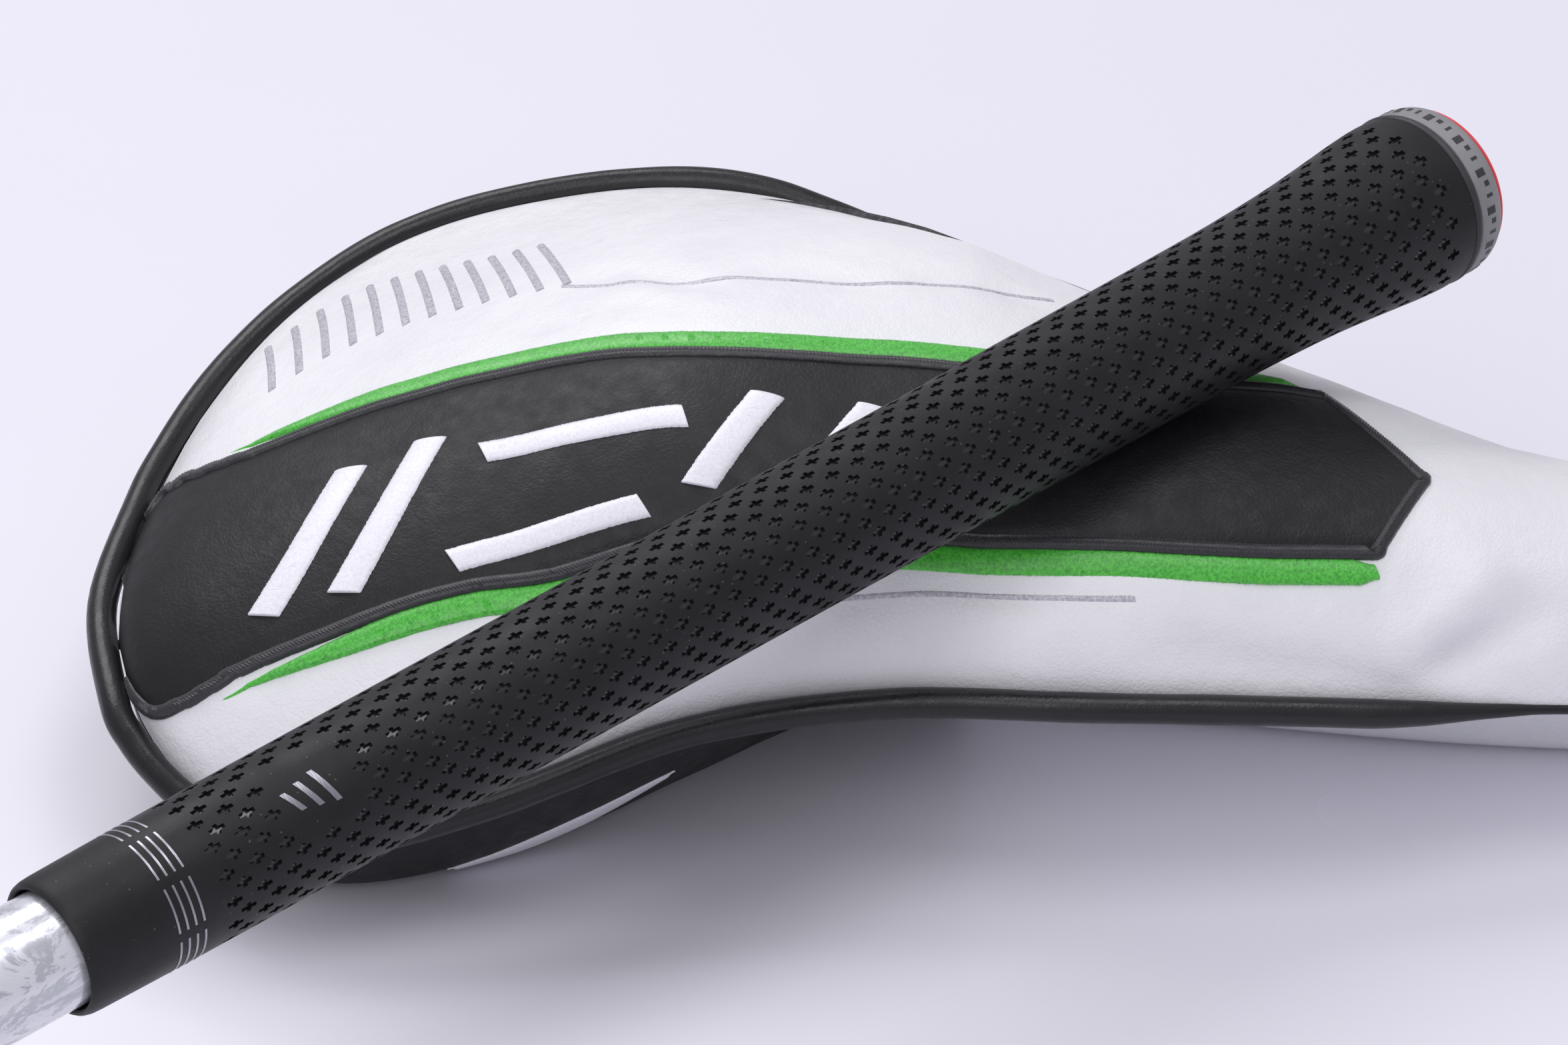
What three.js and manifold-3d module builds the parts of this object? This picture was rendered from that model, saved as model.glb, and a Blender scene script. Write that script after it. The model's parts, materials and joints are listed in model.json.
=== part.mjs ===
// Fairway wood lying with its grip resting on its own headcover.
// Units are millimetres, +Z is up and +X runs along the club from the head towards the butt of the grip.
import * as THREE from 'three';
import { mergeVertices } from 'three/addons/utils/BufferGeometryUtils.js';
import Module from 'manifold-3d';

const wasm = await Module();
wasm.setup();

const DEG = Math.PI / 180;

// ---------------------------------------------------------------- driving dimensions

// Club as a whole. Lengths along the club are measured from where the shaft axis meets the ground line.
const CLUB_LENGTH = 1092;
const LIE = 56 * DEG;
const LOFT = 15 * DEG;
const SHAFT_TILT = 3.03 * DEG;
const HEAD_ROLL = -8 * DEG;

// Head, in its address position: x to the toe, y to the target, z up.
const HEAD = {
  centreX: 4,
  centreY: -37,
  halfWidth: 51,
  frontReach: 46,
  backReach: 51,
  crownHeight: 38,
  crownSlope: 0.08,
  crownCurve: 0.0022,
  soleCurve: 0.0016,
  soleRise: 0.0014,
  planPower: 2 / 2.35,
  rimHeight: 17,
  wall: 1.6,
};
const FACE_PLATE = { halfWidth: 37, halfHeight: 12.5, centreX: 2, centreZ: 18.5, thickness: 2.2, ledge: 3.4 };
const CROWN_PLATE = { inset: 8, thickness: 1.2, behindFace: 7 };
const INNER_WEIGHT = { length: 36, depth: 13, height: 6, x: 14, y: -20, behindFace: 6 };
const GROUND_X = -14;
const GROUND_Y = -18;
const CLEARANCE = 0.3;
const BELOW_SOLE = 30;

// Hosel and adjustable adapter, along the shaft axis.
const HOSEL = {
  bottom: 6,
  top: 72,
  outerRadius: 6.9,
  boreRadius: 5.3,
  webBottom: 15,
  webTop: 18,
  screwHole: 2.9,
  clearOfFace: 33,
};
const COG = { length: 6, radius: 6.9, bore: 5.1 };
const COLLAR = { length: 11, radius: 6.7 };
const FERRULE = { length: 20, middleRadius: 6.25, endRadius: 5.15, bore: 4.8 };
const SLEEVE = { bottom: 20, radius: 4.9, shaftBore: 4.65, boreBottom: 42, screwBore: 2.8 };
const HOSEL_SCREW = {
  headRadius: 4.3,
  headLength: 4.2,
  stemRadius: 2.45,
  stemLength: 18,
  socketRadius: 2.1,
  socketDepth: 2.6,
};
const SCREW_WASHER = { outerRadius: 4.6, innerRadius: 2.75, thickness: 1.0, gap: 0.25 };

// Shaft and grip, by distance from the butt end.
const SHAFT = {
  tip: 44,
  tipRadius: 4.25,
  tipLength: 60,
  buttRadius: 8.1,
  taperEnd: 800,
  wall: 1.3,
  plugLength: 12,
  plugGap: 0.2,
};
const GRIP_LENGTH = 267;
const GRIP_PROFILE = [
  [8.2, 13.85], [12, 13.95], [16.4, 13.7], [24.4, 12.94], [32.3, 12.25], [40, 11.81], [52, 11.42],
  [90, 11.0], [128, 10.68], [181, 10.34], [235, 10.04], [262, 9.78], [266, 9.6],
];
const GRIP_BORE = 8.55;
const GRIP_LIP_RADIUS = 9.2;
const TAPE = { innerRadius: 8.25, outerRadius: 8.4, to: 255 };
const BUTT_CAP = { bandFrom: 3.0, bandTo: 7.9, ventRadius: 1.1, plugRadius: 6.2, plugEnd: 12 };

// Rear sole weight, in the head's own frame.
const WEIGHT = {
  x: 4,
  y: -64,
  face: 3.4,
  radius: 6.2,
  depth: 5.6,
  stemRadius: 2.9,
  stemLength: 5.5,
  bossRadius: 9.0,
  bossTop: 14,
  socketRadius: 2.4,
  socketDepth: 1.6,
};
const SEAL = { gap: 0.35, thickness: 0.7 };

// Headcover, in a frame with x from its closed toe end to its mouth, y across it and z up.
const COVER_LENGTH = 318;
const COVER_NECK_START = 206;
const COVER_SKIN = 1.6;
const COVER_LINING = 1.6;
const COVER_GAP = 0.3;
const PIPING_RADIUS = 2.3;
const COVER_ANGLE = -42.55 * DEG;
const COVER_TOE_END = [-26.7, 119.6];
const GRIP_MIDDLE = 140;

// Stations along the headcover: x, near edge y and z, far edge y and z, crown rise, sole drop, and how far
// the sole tucks in under the near edge.
const COVER_STATIONS = [
  [0, -27, 30, -19, 32, 2, 2, 0],
  [3, -41, 27, -4, 36, 6, 9, 3],
  [9, -51, 22, 15, 41, 12, 20, 6],
  [20, -60, 18, 34, 47, 18, 32, 10],
  [36, -64, 18, 50, 52, 23, 43, 14],
  [58, -60, 22, 58, 56, 27, 50, 20],
  [86, -52, 29, 60, 58, 30, 54, 32],
  [116, -49, 32, 52, 56, 27.2, 53, 42],
  [146, -50, 32, 37, 51, 24.4, 50, 38],
  [176, -48, 30, 22, 45, 22.5, 46, 32],
  [206, -45, 27, 11, 38, 21, 42, 26],
  [235, -41, 24, 8, 32, 19, 38, 20],
  [280, -41, 23, 8, 28, 19, 36, 16],
  [318, -43, 23, 10, 26, 20, 36, 14],
];
const COVER_FAR_TUCK = 12;
const COVER_CROWN_NEAR = 0.5;
const COVER_CROWN_FAR = { toe: 1.1, neck: 0.8, from: 90, to: 130 };

// ---------------------------------------------------------------- materials

function finish(color, roughness, metalness) {
  return new THREE.MeshStandardMaterial({ color, roughness, metalness });
}

const FINISHES = {
  gripRubber: () => finish(0x1b1a1d, 0.62, 0.0),
  capGrey: () => finish(0x6b6a70, 0.6, 0.0),
  capRed: () => finish(0xe0352f, 0.5, 0.0),
  shaftPaint: () => finish(0xe3e4ec, 0.22, 0.25),
  tape: () => finish(0xe9e4d2, 0.8, 0.0),
  blackPlastic: () => finish(0x141416, 0.25, 0.0),
  aluminium: () => finish(0xb9bcc2, 0.35, 1.0),
  steel: () => finish(0x8d9095, 0.3, 1.0),
  darkSteel: () => finish(0x33353a, 0.35, 1.0),
  crownCarbon: () => finish(0x17181b, 0.12, 0.1),
  tungsten: () => finish(0x6f7073, 0.5, 1.0),
  whiteLeather: () => finish(0xf0eff5, 0.5, 0.0),
  blackLeather: () => finish(0x1d1d20, 0.5, 0.0),
  lining: () => finish(0x2a2a2e, 0.95, 0.0),
};

// ---------------------------------------------------------------- geometry helpers

// Leaves only positions, merges shared vertices and turns the faces outwards.
function closed(geometry) {
  const bare = geometry.clone();
  bare.deleteAttribute('normal');
  bare.deleteAttribute('uv');
  const merged = mergeVertices(bare, 1e-3);
  const index = Array.from(merged.index.array);
  const position = merged.attributes.position;
  const kept = [];
  let volume = 0;
  const a = new THREE.Vector3();
  const b = new THREE.Vector3();
  const c = new THREE.Vector3();
  for (let i = 0; i < index.length; i += 3) {
    const [p, q, r] = index.slice(i, i + 3);
    if (p === q || q === r || r === p) continue;
    kept.push(p, q, r);
    a.fromBufferAttribute(position, p);
    b.fromBufferAttribute(position, q);
    c.fromBufferAttribute(position, r);
    volume += a.dot(b.cross(c)) / 6;
  }
  if (volume < 0) {
    for (let i = 0; i < kept.length; i += 3) {
      [kept[i + 1], kept[i + 2]] = [kept[i + 2], kept[i + 1]];
    }
  }
  merged.setIndex(kept);
  return merged;
}

function toManifold(geometry) {
  const solid = closed(geometry);
  return new wasm.Manifold(new wasm.Mesh({
    numProp: 3,
    vertProperties: new Float32Array(solid.attributes.position.array),
    triVerts: new Uint32Array(solid.index.array),
  }));
}

function fromManifold(solid) {
  const mesh = solid.getMesh();
  const geometry = new THREE.BufferGeometry();
  geometry.setAttribute('position', new THREE.BufferAttribute(new Float32Array(mesh.vertProperties), 3));
  geometry.setIndex(Array.from(mesh.triVerts));
  return geometry;
}

// A closed skin through a row of rings with equal point counts, with a flat fan at each end.
function loft(rings) {
  const count = rings[0].length;
  const positions = [];
  const indices = [];
  rings.forEach((ring) => ring.forEach((p) => positions.push(p.x, p.y, p.z)));
  for (let i = 0; i + 1 < rings.length; i += 1) {
    for (let j = 0; j < count; j += 1) {
      const k = (j + 1) % count;
      const low = i * count;
      const high = low + count;
      indices.push(low + j, low + k, high + k, low + j, high + k, high + j);
    }
  }
  [0, rings.length - 1].forEach((end) => {
    const middle = new THREE.Vector3();
    rings[end].forEach((p) => middle.addScaledVector(p, 1 / count));
    const hub = positions.length / 3;
    positions.push(middle.x, middle.y, middle.z);
    for (let j = 0; j < count; j += 1) {
      const pair = [end * count + j, end * count + ((j + 1) % count)];
      if (end === 0) pair.reverse();
      indices.push(hub, pair[0], pair[1]);
    }
  });
  const geometry = new THREE.BufferGeometry();
  geometry.setAttribute('position', new THREE.Float32BufferAttribute(positions, 3));
  geometry.setIndex(indices);
  return closed(geometry);
}

// A turned solid about the X axis from a closed outline of [distance along X, radius] points.
function turned(profile, segments = 32) {
  const points = [...profile, profile[0]].map(([along, radius]) => new THREE.Vector2(radius, along));
  const geometry = new THREE.LatheGeometry(points, segments);
  geometry.rotateZ(-Math.PI / 2);
  return closed(geometry);
}

function ringProfile(from, to, inner, outer) {
  return [[from, inner], [to, inner], [to, outer], [from, outer]];
}

function hexagonalBore(radius, from, to) {
  const geometry = new THREE.CylinderGeometry(radius, radius, to - from, 6);
  geometry.rotateZ(-Math.PI / 2);
  geometry.translate((from + to) / 2, 0, 0);
  return geometry;
}

function box(sizeX, sizeY, sizeZ, x, y, z) {
  return new THREE.BoxGeometry(sizeX, sizeY, sizeZ).translate(x, y, z);
}

function node(name, geometry, material) {
  const mesh = new THREE.Mesh(geometry, material);
  mesh.name = name;
  return mesh;
}

// ---------------------------------------------------------------- club head

// Distance along the shaft axis, from the ground line, maps into the head's address frame with this matrix.
const shaftInHead = new THREE.Matrix4().makeBasis(
  new THREE.Vector3(-Math.cos(LIE), 0, Math.sin(LIE)),
  new THREE.Vector3(0, 1, 0).multiplyScalar(-1),
  new THREE.Vector3(Math.sin(LIE), 0, Math.cos(LIE)),
).setPosition(GROUND_X, GROUND_Y, 0);

// The head's outer skin pulled in by an inset: plan outlines stacked from the sole to the crown.
function headSkin(inset, fine = false) {
  const around = fine ? 60 : 36;
  const sweep = fine ? [0.2, 0.4, 0.58, 0.72, 0.83, 0.91, 0.965, 0.992] : [0.25, 0.5, 0.72, 0.88, 0.97];
  const plan = (angle, share) => {
    const cos = Math.cos(angle);
    const sin = Math.sin(angle);
    const reach = sin > 0 ? HEAD.frontReach : HEAD.backReach;
    return [
      HEAD.centreX + share * (HEAD.halfWidth - inset) * Math.sign(cos) * Math.abs(cos) ** HEAD.planPower,
      HEAD.centreY + share * (reach - inset) * Math.sign(sin) * Math.abs(sin) ** HEAD.planPower,
    ];
  };
  const ring = (share, heightAt) => Array.from({ length: around }, (unused, i) => {
    const [x, y] = plan((i / around) * 2 * Math.PI, share);
    return new THREE.Vector3(x, y, heightAt(x, y));
  });
  const crownTop = (x, y) => HEAD.crownHeight + HEAD.crownSlope * (y - HEAD.centreY)
    - HEAD.crownCurve * (x - HEAD.centreX) ** 2;
  const soleLow = (x, y) => inset + HEAD.soleCurve * (x - HEAD.centreX) ** 2
    + HEAD.soleRise * Math.min(0, y - HEAD.centreY) ** 2;
  const soleRing = (share) => ring(share, (x, y) => {
    const low = soleLow(x, y);
    return low + (HEAD.rimHeight - low) * (1 - (1 - share ** 3.4) ** 0.5);
  });
  const crownRing = (share) => ring(share, (x, y) => {
    const rise = crownTop(x, y) - inset - HEAD.rimHeight;
    return HEAD.rimHeight + rise * (1 - share ** 2.6) ** 0.62;
  });
  const rings = [];
  sweep.forEach((share) => rings.push(soleRing(share)));
  rings.push(ring(1, () => HEAD.rimHeight));
  [...sweep].reverse().forEach((share) => rings.push(crownRing(share)));
  return toManifold(loft(rings));
}

// Everything in front of a plane that leans back by the loft, set back from the leading edge.
function aheadOfFace(setBack) {
  const block = box(200, 80, 200, 0, 40 - setBack, 0);
  block.rotateX(LOFT);
  return toManifold(block);
}

// An upright oval bar along the face normal, for the face plate and its opening.
function facePrism(grow) {
  const shape = new THREE.Shape();
  shape.absellipse(0, 0, FACE_PLATE.halfWidth + grow, FACE_PLATE.halfHeight + grow, 0, 2 * Math.PI);
  const prism = new THREE.ExtrudeGeometry(shape, { depth: 30, bevelEnabled: false, curveSegments: 16 });
  prism.translate(0, 0, -15);
  prism.rotateX(Math.PI / 2 + LOFT);
  const lean = FACE_PLATE.centreZ * Math.tan(LOFT);
  prism.translate(FACE_PLATE.centreX, -lean, FACE_PLATE.centreZ);
  return toManifold(prism);
}

// An upright bar over the crown opening, following the plan of the head.
function crownPrism(grow) {
  const shape = new THREE.Shape();
  const inset = CROWN_PLATE.inset - grow;
  shape.absellipse(
    HEAD.centreX + 6,
    HEAD.centreY - 4,
    HEAD.halfWidth - inset - 6,
    HEAD.backReach - inset - 6,
    0,
    2 * Math.PI,
  );
  const prism = new THREE.ExtrudeGeometry(shape, { depth: 60, bevelEnabled: false, curveSegments: 20 });
  prism.translate(0, 0, HEAD.rimHeight + 4);
  return toManifold(prism).subtract(aheadOfFace(CROWN_PLATE.behindFace - grow));
}

// Everything over a height in the head's frame.
function above(height) {
  return toManifold(box(200, 200, 200, 0, 0, height + 100));
}

function alongShaft(geometry) {
  return toManifold(geometry.clone().applyMatrix4(shaftInHead));
}

function weightColumn(radius, from, to) {
  const column = new THREE.CylinderGeometry(radius, radius, to - from, 24);
  column.rotateX(Math.PI / 2);
  column.translate(WEIGHT.x, WEIGHT.y, (from + to) / 2);
  return toManifold(column);
}

// The head without its plates, screws and weights.
function headBody() {
  const outside = headSkin(0, true).subtract(aheadOfFace(0));
  const hoselTube = alongShaft(turned(ringProfile(HOSEL.bottom, HOSEL.top, 0, HOSEL.outerRadius)));
  const besideFace = aheadOfFace(0).subtract(above(HOSEL.clearOfFace));
  const boss = weightColumn(WEIGHT.bossRadius, 0, WEIGHT.bossTop).intersect(headSkin(HEAD.wall / 3));
  const solidFront = aheadOfFace(FACE_PLATE.ledge);
  const hollow = headSkin(HEAD.wall).subtract(solidFront).subtract(hoselTube).subtract(boss);
  const shaftBore = alongShaft(turned(ringProfile(HOSEL.webTop, HOSEL.top + 5, 0, HOSEL.boreRadius)));
  const screwHole = alongShaft(turned([
    [-BELOW_SOLE, 0], [HOSEL.webTop + 1, 0], [HOSEL.webTop + 1, HOSEL.screwHole],
    [HOSEL.webBottom, HOSEL.screwHole], [HOSEL.webBottom, HOSEL.boreRadius], [-BELOW_SOLE, HOSEL.boreRadius],
  ]));
  const seatTop = WEIGHT.depth + 2 * SEAL.gap + SEAL.thickness;
  const seat = weightColumn(WEIGHT.radius + CLEARANCE, -BELOW_SOLE, seatTop);
  const weightBore = weightColumn(WEIGHT.stemRadius + CLEARANCE / 2, -BELOW_SOLE, BELOW_SOLE);
  return outside
    .add(hoselTube.subtract(besideFace))
    .subtract(hollow)
    .subtract(crownPrism(CLEARANCE).subtract(hoselTube))
    .subtract(facePrism(CLEARANCE).subtract(hoselTube))
    .subtract(shaftBore)
    .subtract(screwHole)
    .subtract(seat)
    .subtract(weightBore);
}

function facePlate() {
  return headSkin(0, true)
    .subtract(aheadOfFace(0))
    .intersect(aheadOfFace(FACE_PLATE.thickness))
    .intersect(facePrism(0));
}

function crownPlate() {
  return headSkin(0, true)
    .subtract(headSkin(CROWN_PLATE.thickness))
    .intersect(crownPrism(0));
}

// Forward mass bar lying on the inside of the sole, behind the face.
function innerWeight() {
  const { length, depth, height, x, y, behindFace } = INNER_WEIGHT;
  const bar = box(length, depth, height, x, y, HEAD.wall + 2 * CLEARANCE + height / 2);
  return toManifold(bar).intersect(headSkin(HEAD.wall + CLEARANCE)).subtract(aheadOfFace(behindFace));
}

function buildHead() {
  const group = new THREE.Group();
  group.add(node('head_body', fromManifold(headBody()), FINISHES.darkSteel()));
  group.add(node('face_plate', fromManifold(facePlate()), FINISHES.steel()));
  group.add(node('crown_plate', fromManifold(crownPlate()), FINISHES.crownCarbon()));
  group.add(node('inner_weight', fromManifold(innerWeight()), FINISHES.tungsten()));
  group.add(buildSoleWeight());
  return group;
}

// Screw-in weight with a hexagonal socket, seated on a thin ring.
function buildSoleWeight() {
  const group = new THREE.Group();
  group.position.set(WEIGHT.x, WEIGHT.y, 0);
  group.rotation.y = -Math.PI / 2;
  const { face, socketRadius, socketDepth } = WEIGHT;
  const ringFrom = WEIGHT.depth + SEAL.gap;
  const ring = ringProfile(ringFrom, ringFrom + SEAL.thickness, WEIGHT.stemRadius + SEAL.gap, WEIGHT.radius);
  const weight = toManifold(turned([
    [face, 0], [face, WEIGHT.radius], [WEIGHT.depth, WEIGHT.radius], [WEIGHT.depth, WEIGHT.stemRadius],
    [WEIGHT.depth + WEIGHT.stemLength, WEIGHT.stemRadius], [WEIGHT.depth + WEIGHT.stemLength, 0],
  ], 24)).subtract(toManifold(hexagonalBore(socketRadius, face - 1, face + socketDepth)));
  group.add(node('rear_weight', fromManifold(weight), FINISHES.tungsten()));
  group.add(node('rear_weight_seal', turned(ring, 24), FINISHES.blackPlastic()));
  return group;
}

// ---------------------------------------------------------------- shaft, adapter and grip

function buildAdapter() {
  const group = new THREE.Group();
  const cogFrom = HOSEL.top + CLEARANCE;
  const collarFrom = cogFrom + COG.length + CLEARANCE;
  const collarTo = collarFrom + COLLAR.length;
  const ferruleFrom = collarTo + CLEARANCE;
  group.add(node('adapter_sleeve', turned([
    [SLEEVE.bottom, SLEEVE.screwBore], [SLEEVE.bottom, SLEEVE.radius], [collarFrom, SLEEVE.radius],
    [collarFrom, COLLAR.radius], [collarTo, COLLAR.radius], [collarTo, SLEEVE.shaftBore],
    [SLEEVE.boreBottom, SLEEVE.shaftBore], [SLEEVE.boreBottom, SLEEVE.screwBore],
  ]), FINISHES.aluminium()));
  group.add(node(
    'adapter_cog',
    turned(ringProfile(cogFrom, cogFrom + COG.length, COG.bore, COG.radius)),
    FINISHES.darkSteel(),
  ));
  group.add(node('ferrule', turned([
    [ferruleFrom, FERRULE.bore], [ferruleFrom, COLLAR.radius],
    [ferruleFrom + FERRULE.length / 2, FERRULE.middleRadius],
    [ferruleFrom + FERRULE.length, FERRULE.endRadius], [ferruleFrom + FERRULE.length, FERRULE.bore],
  ]), FINISHES.blackPlastic()));
  return group;
}

// A tapered tube, parallel in the adapter and in the grip.
function buildShaft() {
  const group = new THREE.Group();
  const butt = CLUB_LENGTH - (BUTT_CAP.bandFrom + 1.5);
  const parallelTip = SHAFT.tip + SHAFT.tipLength;
  const tip = SHAFT.tip;
  group.add(node('shaft', turned([
    [tip, SHAFT.tipRadius], [parallelTip, SHAFT.tipRadius], [SHAFT.taperEnd, SHAFT.buttRadius],
    [butt, SHAFT.buttRadius], [butt, SHAFT.buttRadius - SHAFT.wall],
    [SHAFT.taperEnd, SHAFT.buttRadius - SHAFT.wall], [parallelTip, SHAFT.tipRadius - SHAFT.wall],
    [tip, SHAFT.tipRadius - SHAFT.wall],
  ]), FINISHES.shaftPaint()));
  const plugRadius = SHAFT.tipRadius - SHAFT.wall - SHAFT.plugGap;
  const plugFrom = tip + 1;
  const plugTo = plugFrom + SHAFT.plugLength;
  group.add(node(
    'shaft_tip_plug',
    turned([[plugFrom, 0], [plugTo, 0], [plugTo, plugRadius], [plugFrom, plugRadius]], 16),
    FINISHES.tape(),
  ));
  return group;
}

// Rubber sleeve over its tape, with a grey band and a rounded plug at the butt.
function buildGrip() {
  const group = new THREE.Group();
  const fromButt = (s) => CLUB_LENGTH - s;
  const outer = GRIP_PROFILE.map(([s, radius]) => [fromButt(s), radius]);
  const lip = [[fromButt(GRIP_LENGTH), GRIP_LIP_RADIUS], [fromButt(GRIP_LENGTH), GRIP_BORE]];
  const bore = [[fromButt(GRIP_PROFILE[0][0]), GRIP_BORE]];
  const sleeve = toManifold(turned([...outer, ...lip, ...bore], 40));
  group.add(node('grip_sleeve', fromManifold(sleeve), FINISHES.gripRubber()));
  const tapeEnd = fromButt(BUTT_CAP.bandTo + CLEARANCE);
  const tape = ringProfile(fromButt(TAPE.to), tapeEnd, TAPE.innerRadius, TAPE.outerRadius);
  group.add(node('grip_tape', turned(tape), FINISHES.tape()));
  group.add(node('grip_cap_band', turned([
    [fromButt(BUTT_CAP.bandTo), GRIP_BORE], [fromButt(BUTT_CAP.bandTo), 13.85],
    [fromButt(BUTT_CAP.bandFrom + 1.5), 13.75], [fromButt(BUTT_CAP.bandFrom), 13.2],
    [fromButt(BUTT_CAP.bandFrom), GRIP_BORE],
  ], 40), FINISHES.capGrey()));
  group.add(node('grip_end_cap', turned([
    [fromButt(0), BUTT_CAP.ventRadius], [fromButt(0.25), 6], [fromButt(0.9), 10.2], [fromButt(1.7), 12.2],
    [fromButt(2.7), 13.0], [fromButt(2.7), BUTT_CAP.plugRadius],
    [fromButt(BUTT_CAP.plugEnd), BUTT_CAP.plugRadius], [fromButt(BUTT_CAP.plugEnd), BUTT_CAP.ventRadius],
  ], 40), FINISHES.capRed()));
  return group;
}

function buildHoselScrew() {
  const group = new THREE.Group();
  const headTop = HOSEL.webBottom - SCREW_WASHER.thickness - 2 * SCREW_WASHER.gap;
  const headBottom = headTop - HOSEL_SCREW.headLength;
  const socketTop = headBottom + HOSEL_SCREW.socketDepth;
  const screw = toManifold(turned([
    [headBottom, 0], [headBottom, HOSEL_SCREW.headRadius], [headTop, HOSEL_SCREW.headRadius],
    [headTop, HOSEL_SCREW.stemRadius], [headTop + HOSEL_SCREW.stemLength, HOSEL_SCREW.stemRadius],
    [headTop + HOSEL_SCREW.stemLength, 0],
  ], 24)).subtract(toManifold(hexagonalBore(HOSEL_SCREW.socketRadius, headBottom - 1, socketTop)));
  group.add(node('hosel_screw', fromManifold(screw), FINISHES.steel()));
  const { innerRadius, outerRadius, thickness, gap } = SCREW_WASHER;
  const washer = ringProfile(headTop + gap, headTop + gap + thickness, innerRadius, outerRadius);
  group.add(node('hosel_screw_washer', turned(washer, 24), FINISHES.blackPlastic()));
  return group;
}

// ---------------------------------------------------------------- headcover

// Value of one station column at a distance along the cover, through a smooth cubic.
function stationValue(column, along) {
  const last = COVER_STATIONS.length - 1;
  let i = 0;
  while (i < last - 1 && COVER_STATIONS[i + 1][0] < along) i += 1;
  const slope = (k) => {
    const before = COVER_STATIONS[Math.max(0, k - 1)];
    const after = COVER_STATIONS[Math.min(last, k + 1)];
    return (after[column] - before[column]) / (after[0] - before[0]);
  };
  const [from, to] = [COVER_STATIONS[i], COVER_STATIONS[i + 1]];
  const span = to[0] - from[0];
  const t = (along - from[0]) / span;
  const cube = t ** 3;
  const square = t ** 2;
  return (2 * cube - 3 * square + 1) * from[column] + (cube - 2 * square + t) * span * slope(i)
    + (3 * square - 2 * cube) * to[column] + (cube - square) * span * slope(i + 1);
}

// Crown rise across the cover, from 0 at the near edge to 0 at the far edge, with its top nearer the first.
function crownShare(along, share) {
  const { toe, neck, from, to } = COVER_CROWN_FAR;
  const blend = THREE.MathUtils.clamp((along - from) / (to - from), 0, 1);
  const far = toe + (neck - toe) * blend;
  const near = COVER_CROWN_NEAR;
  const top = near / (near + far);
  return (share ** near * (1 - share) ** far) / (top ** near * (1 - top) ** far);
}

// Cross-section of the cover, pulled in by an inset and kept off the floor.
function coverRing(along, inset) {
  const around = 28;
  const values = [1, 2, 3, 4, 5, 6, 7].map((k) => stationValue(k, along));
  const [nearY, nearZ, farY, farZ, rise, drop, tuck] = values;
  const width = Math.hypot(farY - nearY, farZ - nearZ);
  const squeeze = Math.max(0.05, 1 - (2 * inset) / width);
  return Array.from({ length: around }, (unused, i) => {
    const angle = (i / around) * 2 * Math.PI;
    const plain = 0.5 - 0.5 * Math.cos(angle);
    const share = 0.5 + squeeze * (plain - 0.5);
    const middle = nearZ + (farZ - nearZ) * share;
    const y = nearY + (farY - nearY) * share;
    if (i < around / 2) {
      return new THREE.Vector3(along, y, middle + Math.max(rise - inset, 0.3) * crownShare(along, plain));
    }
    const bulge = Math.abs(Math.sin(angle)) ** 0.85;
    const shift = bulge * (tuck * (1 - share) - COVER_FAR_TUCK * share);
    return new THREE.Vector3(along, y + shift, Math.max(middle - bulge * Math.max(drop - inset, 0.3), inset));
  });
}

function coverSolid(inset, from, to) {
  const stops = [from, 6.5, 14, 27, 46, 70, 98, 128, 160, 190, 225, 270, to];
  return toManifold(loft(stops.map((along) => coverRing(along, inset))));
}

// Height of the seam between the crown panel and the sole panel at a place on the cover.
function seamSheet(lift) {
  const rings = [0, 20, 45, 75, 110, 150, 190, COVER_NECK_START, 240, COVER_LENGTH].map((along) => {
    const [nearY, nearZ, farY, farZ] = [1, 2, 3, 4].map((k) => stationValue(k, along));
    const slope = (farZ - nearZ) / (farY - nearY);
    const edge = (y, z) => new THREE.Vector3(along, y, z);
    const low = nearZ - slope * 60 + lift;
    const high = farZ + slope * 60 + lift;
    return [edge(nearY - 60, low), edge(farY + 60, high), edge(farY + 60, 200), edge(nearY - 60, 200)];
  });
  rings[0].forEach((p) => p.setX(-20));
  rings[rings.length - 1].forEach((p) => p.setX(COVER_LENGTH + 20));
  return toManifold(loft(rings));
}

function seamLoop() {
  const near = [];
  const far = [];
  const offset = PIPING_RADIUS + 0.35;
  for (let along = 3; along <= COVER_NECK_START - 4; along += along < 24 ? 7 : 16) {
    const [nearY, nearZ, farY, farZ] = [1, 2, 3, 4].map((k) => stationValue(k, along));
    const shift = along < 30 ? offset * (1 - along / 30) : 0;
    near.push(new THREE.Vector3(along - shift, nearY - offset, nearZ));
    far.push(new THREE.Vector3(along - shift, farY + offset, farZ));
  }
  const toe = new THREE.Vector3(-offset - 0.4, -23, 31);
  return new THREE.CatmullRomCurve3([...near.reverse(), toe, ...far]);
}

function pipingSolid() {
  const section = new THREE.Shape();
  section.absarc(0, 0, PIPING_RADIUS, 0, 2 * Math.PI);
  return toManifold(new THREE.ExtrudeGeometry(section, {
    steps: 56,
    curveSegments: 4,
    bevelEnabled: false,
    extrudePath: seamLoop(),
  }));
}

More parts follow.
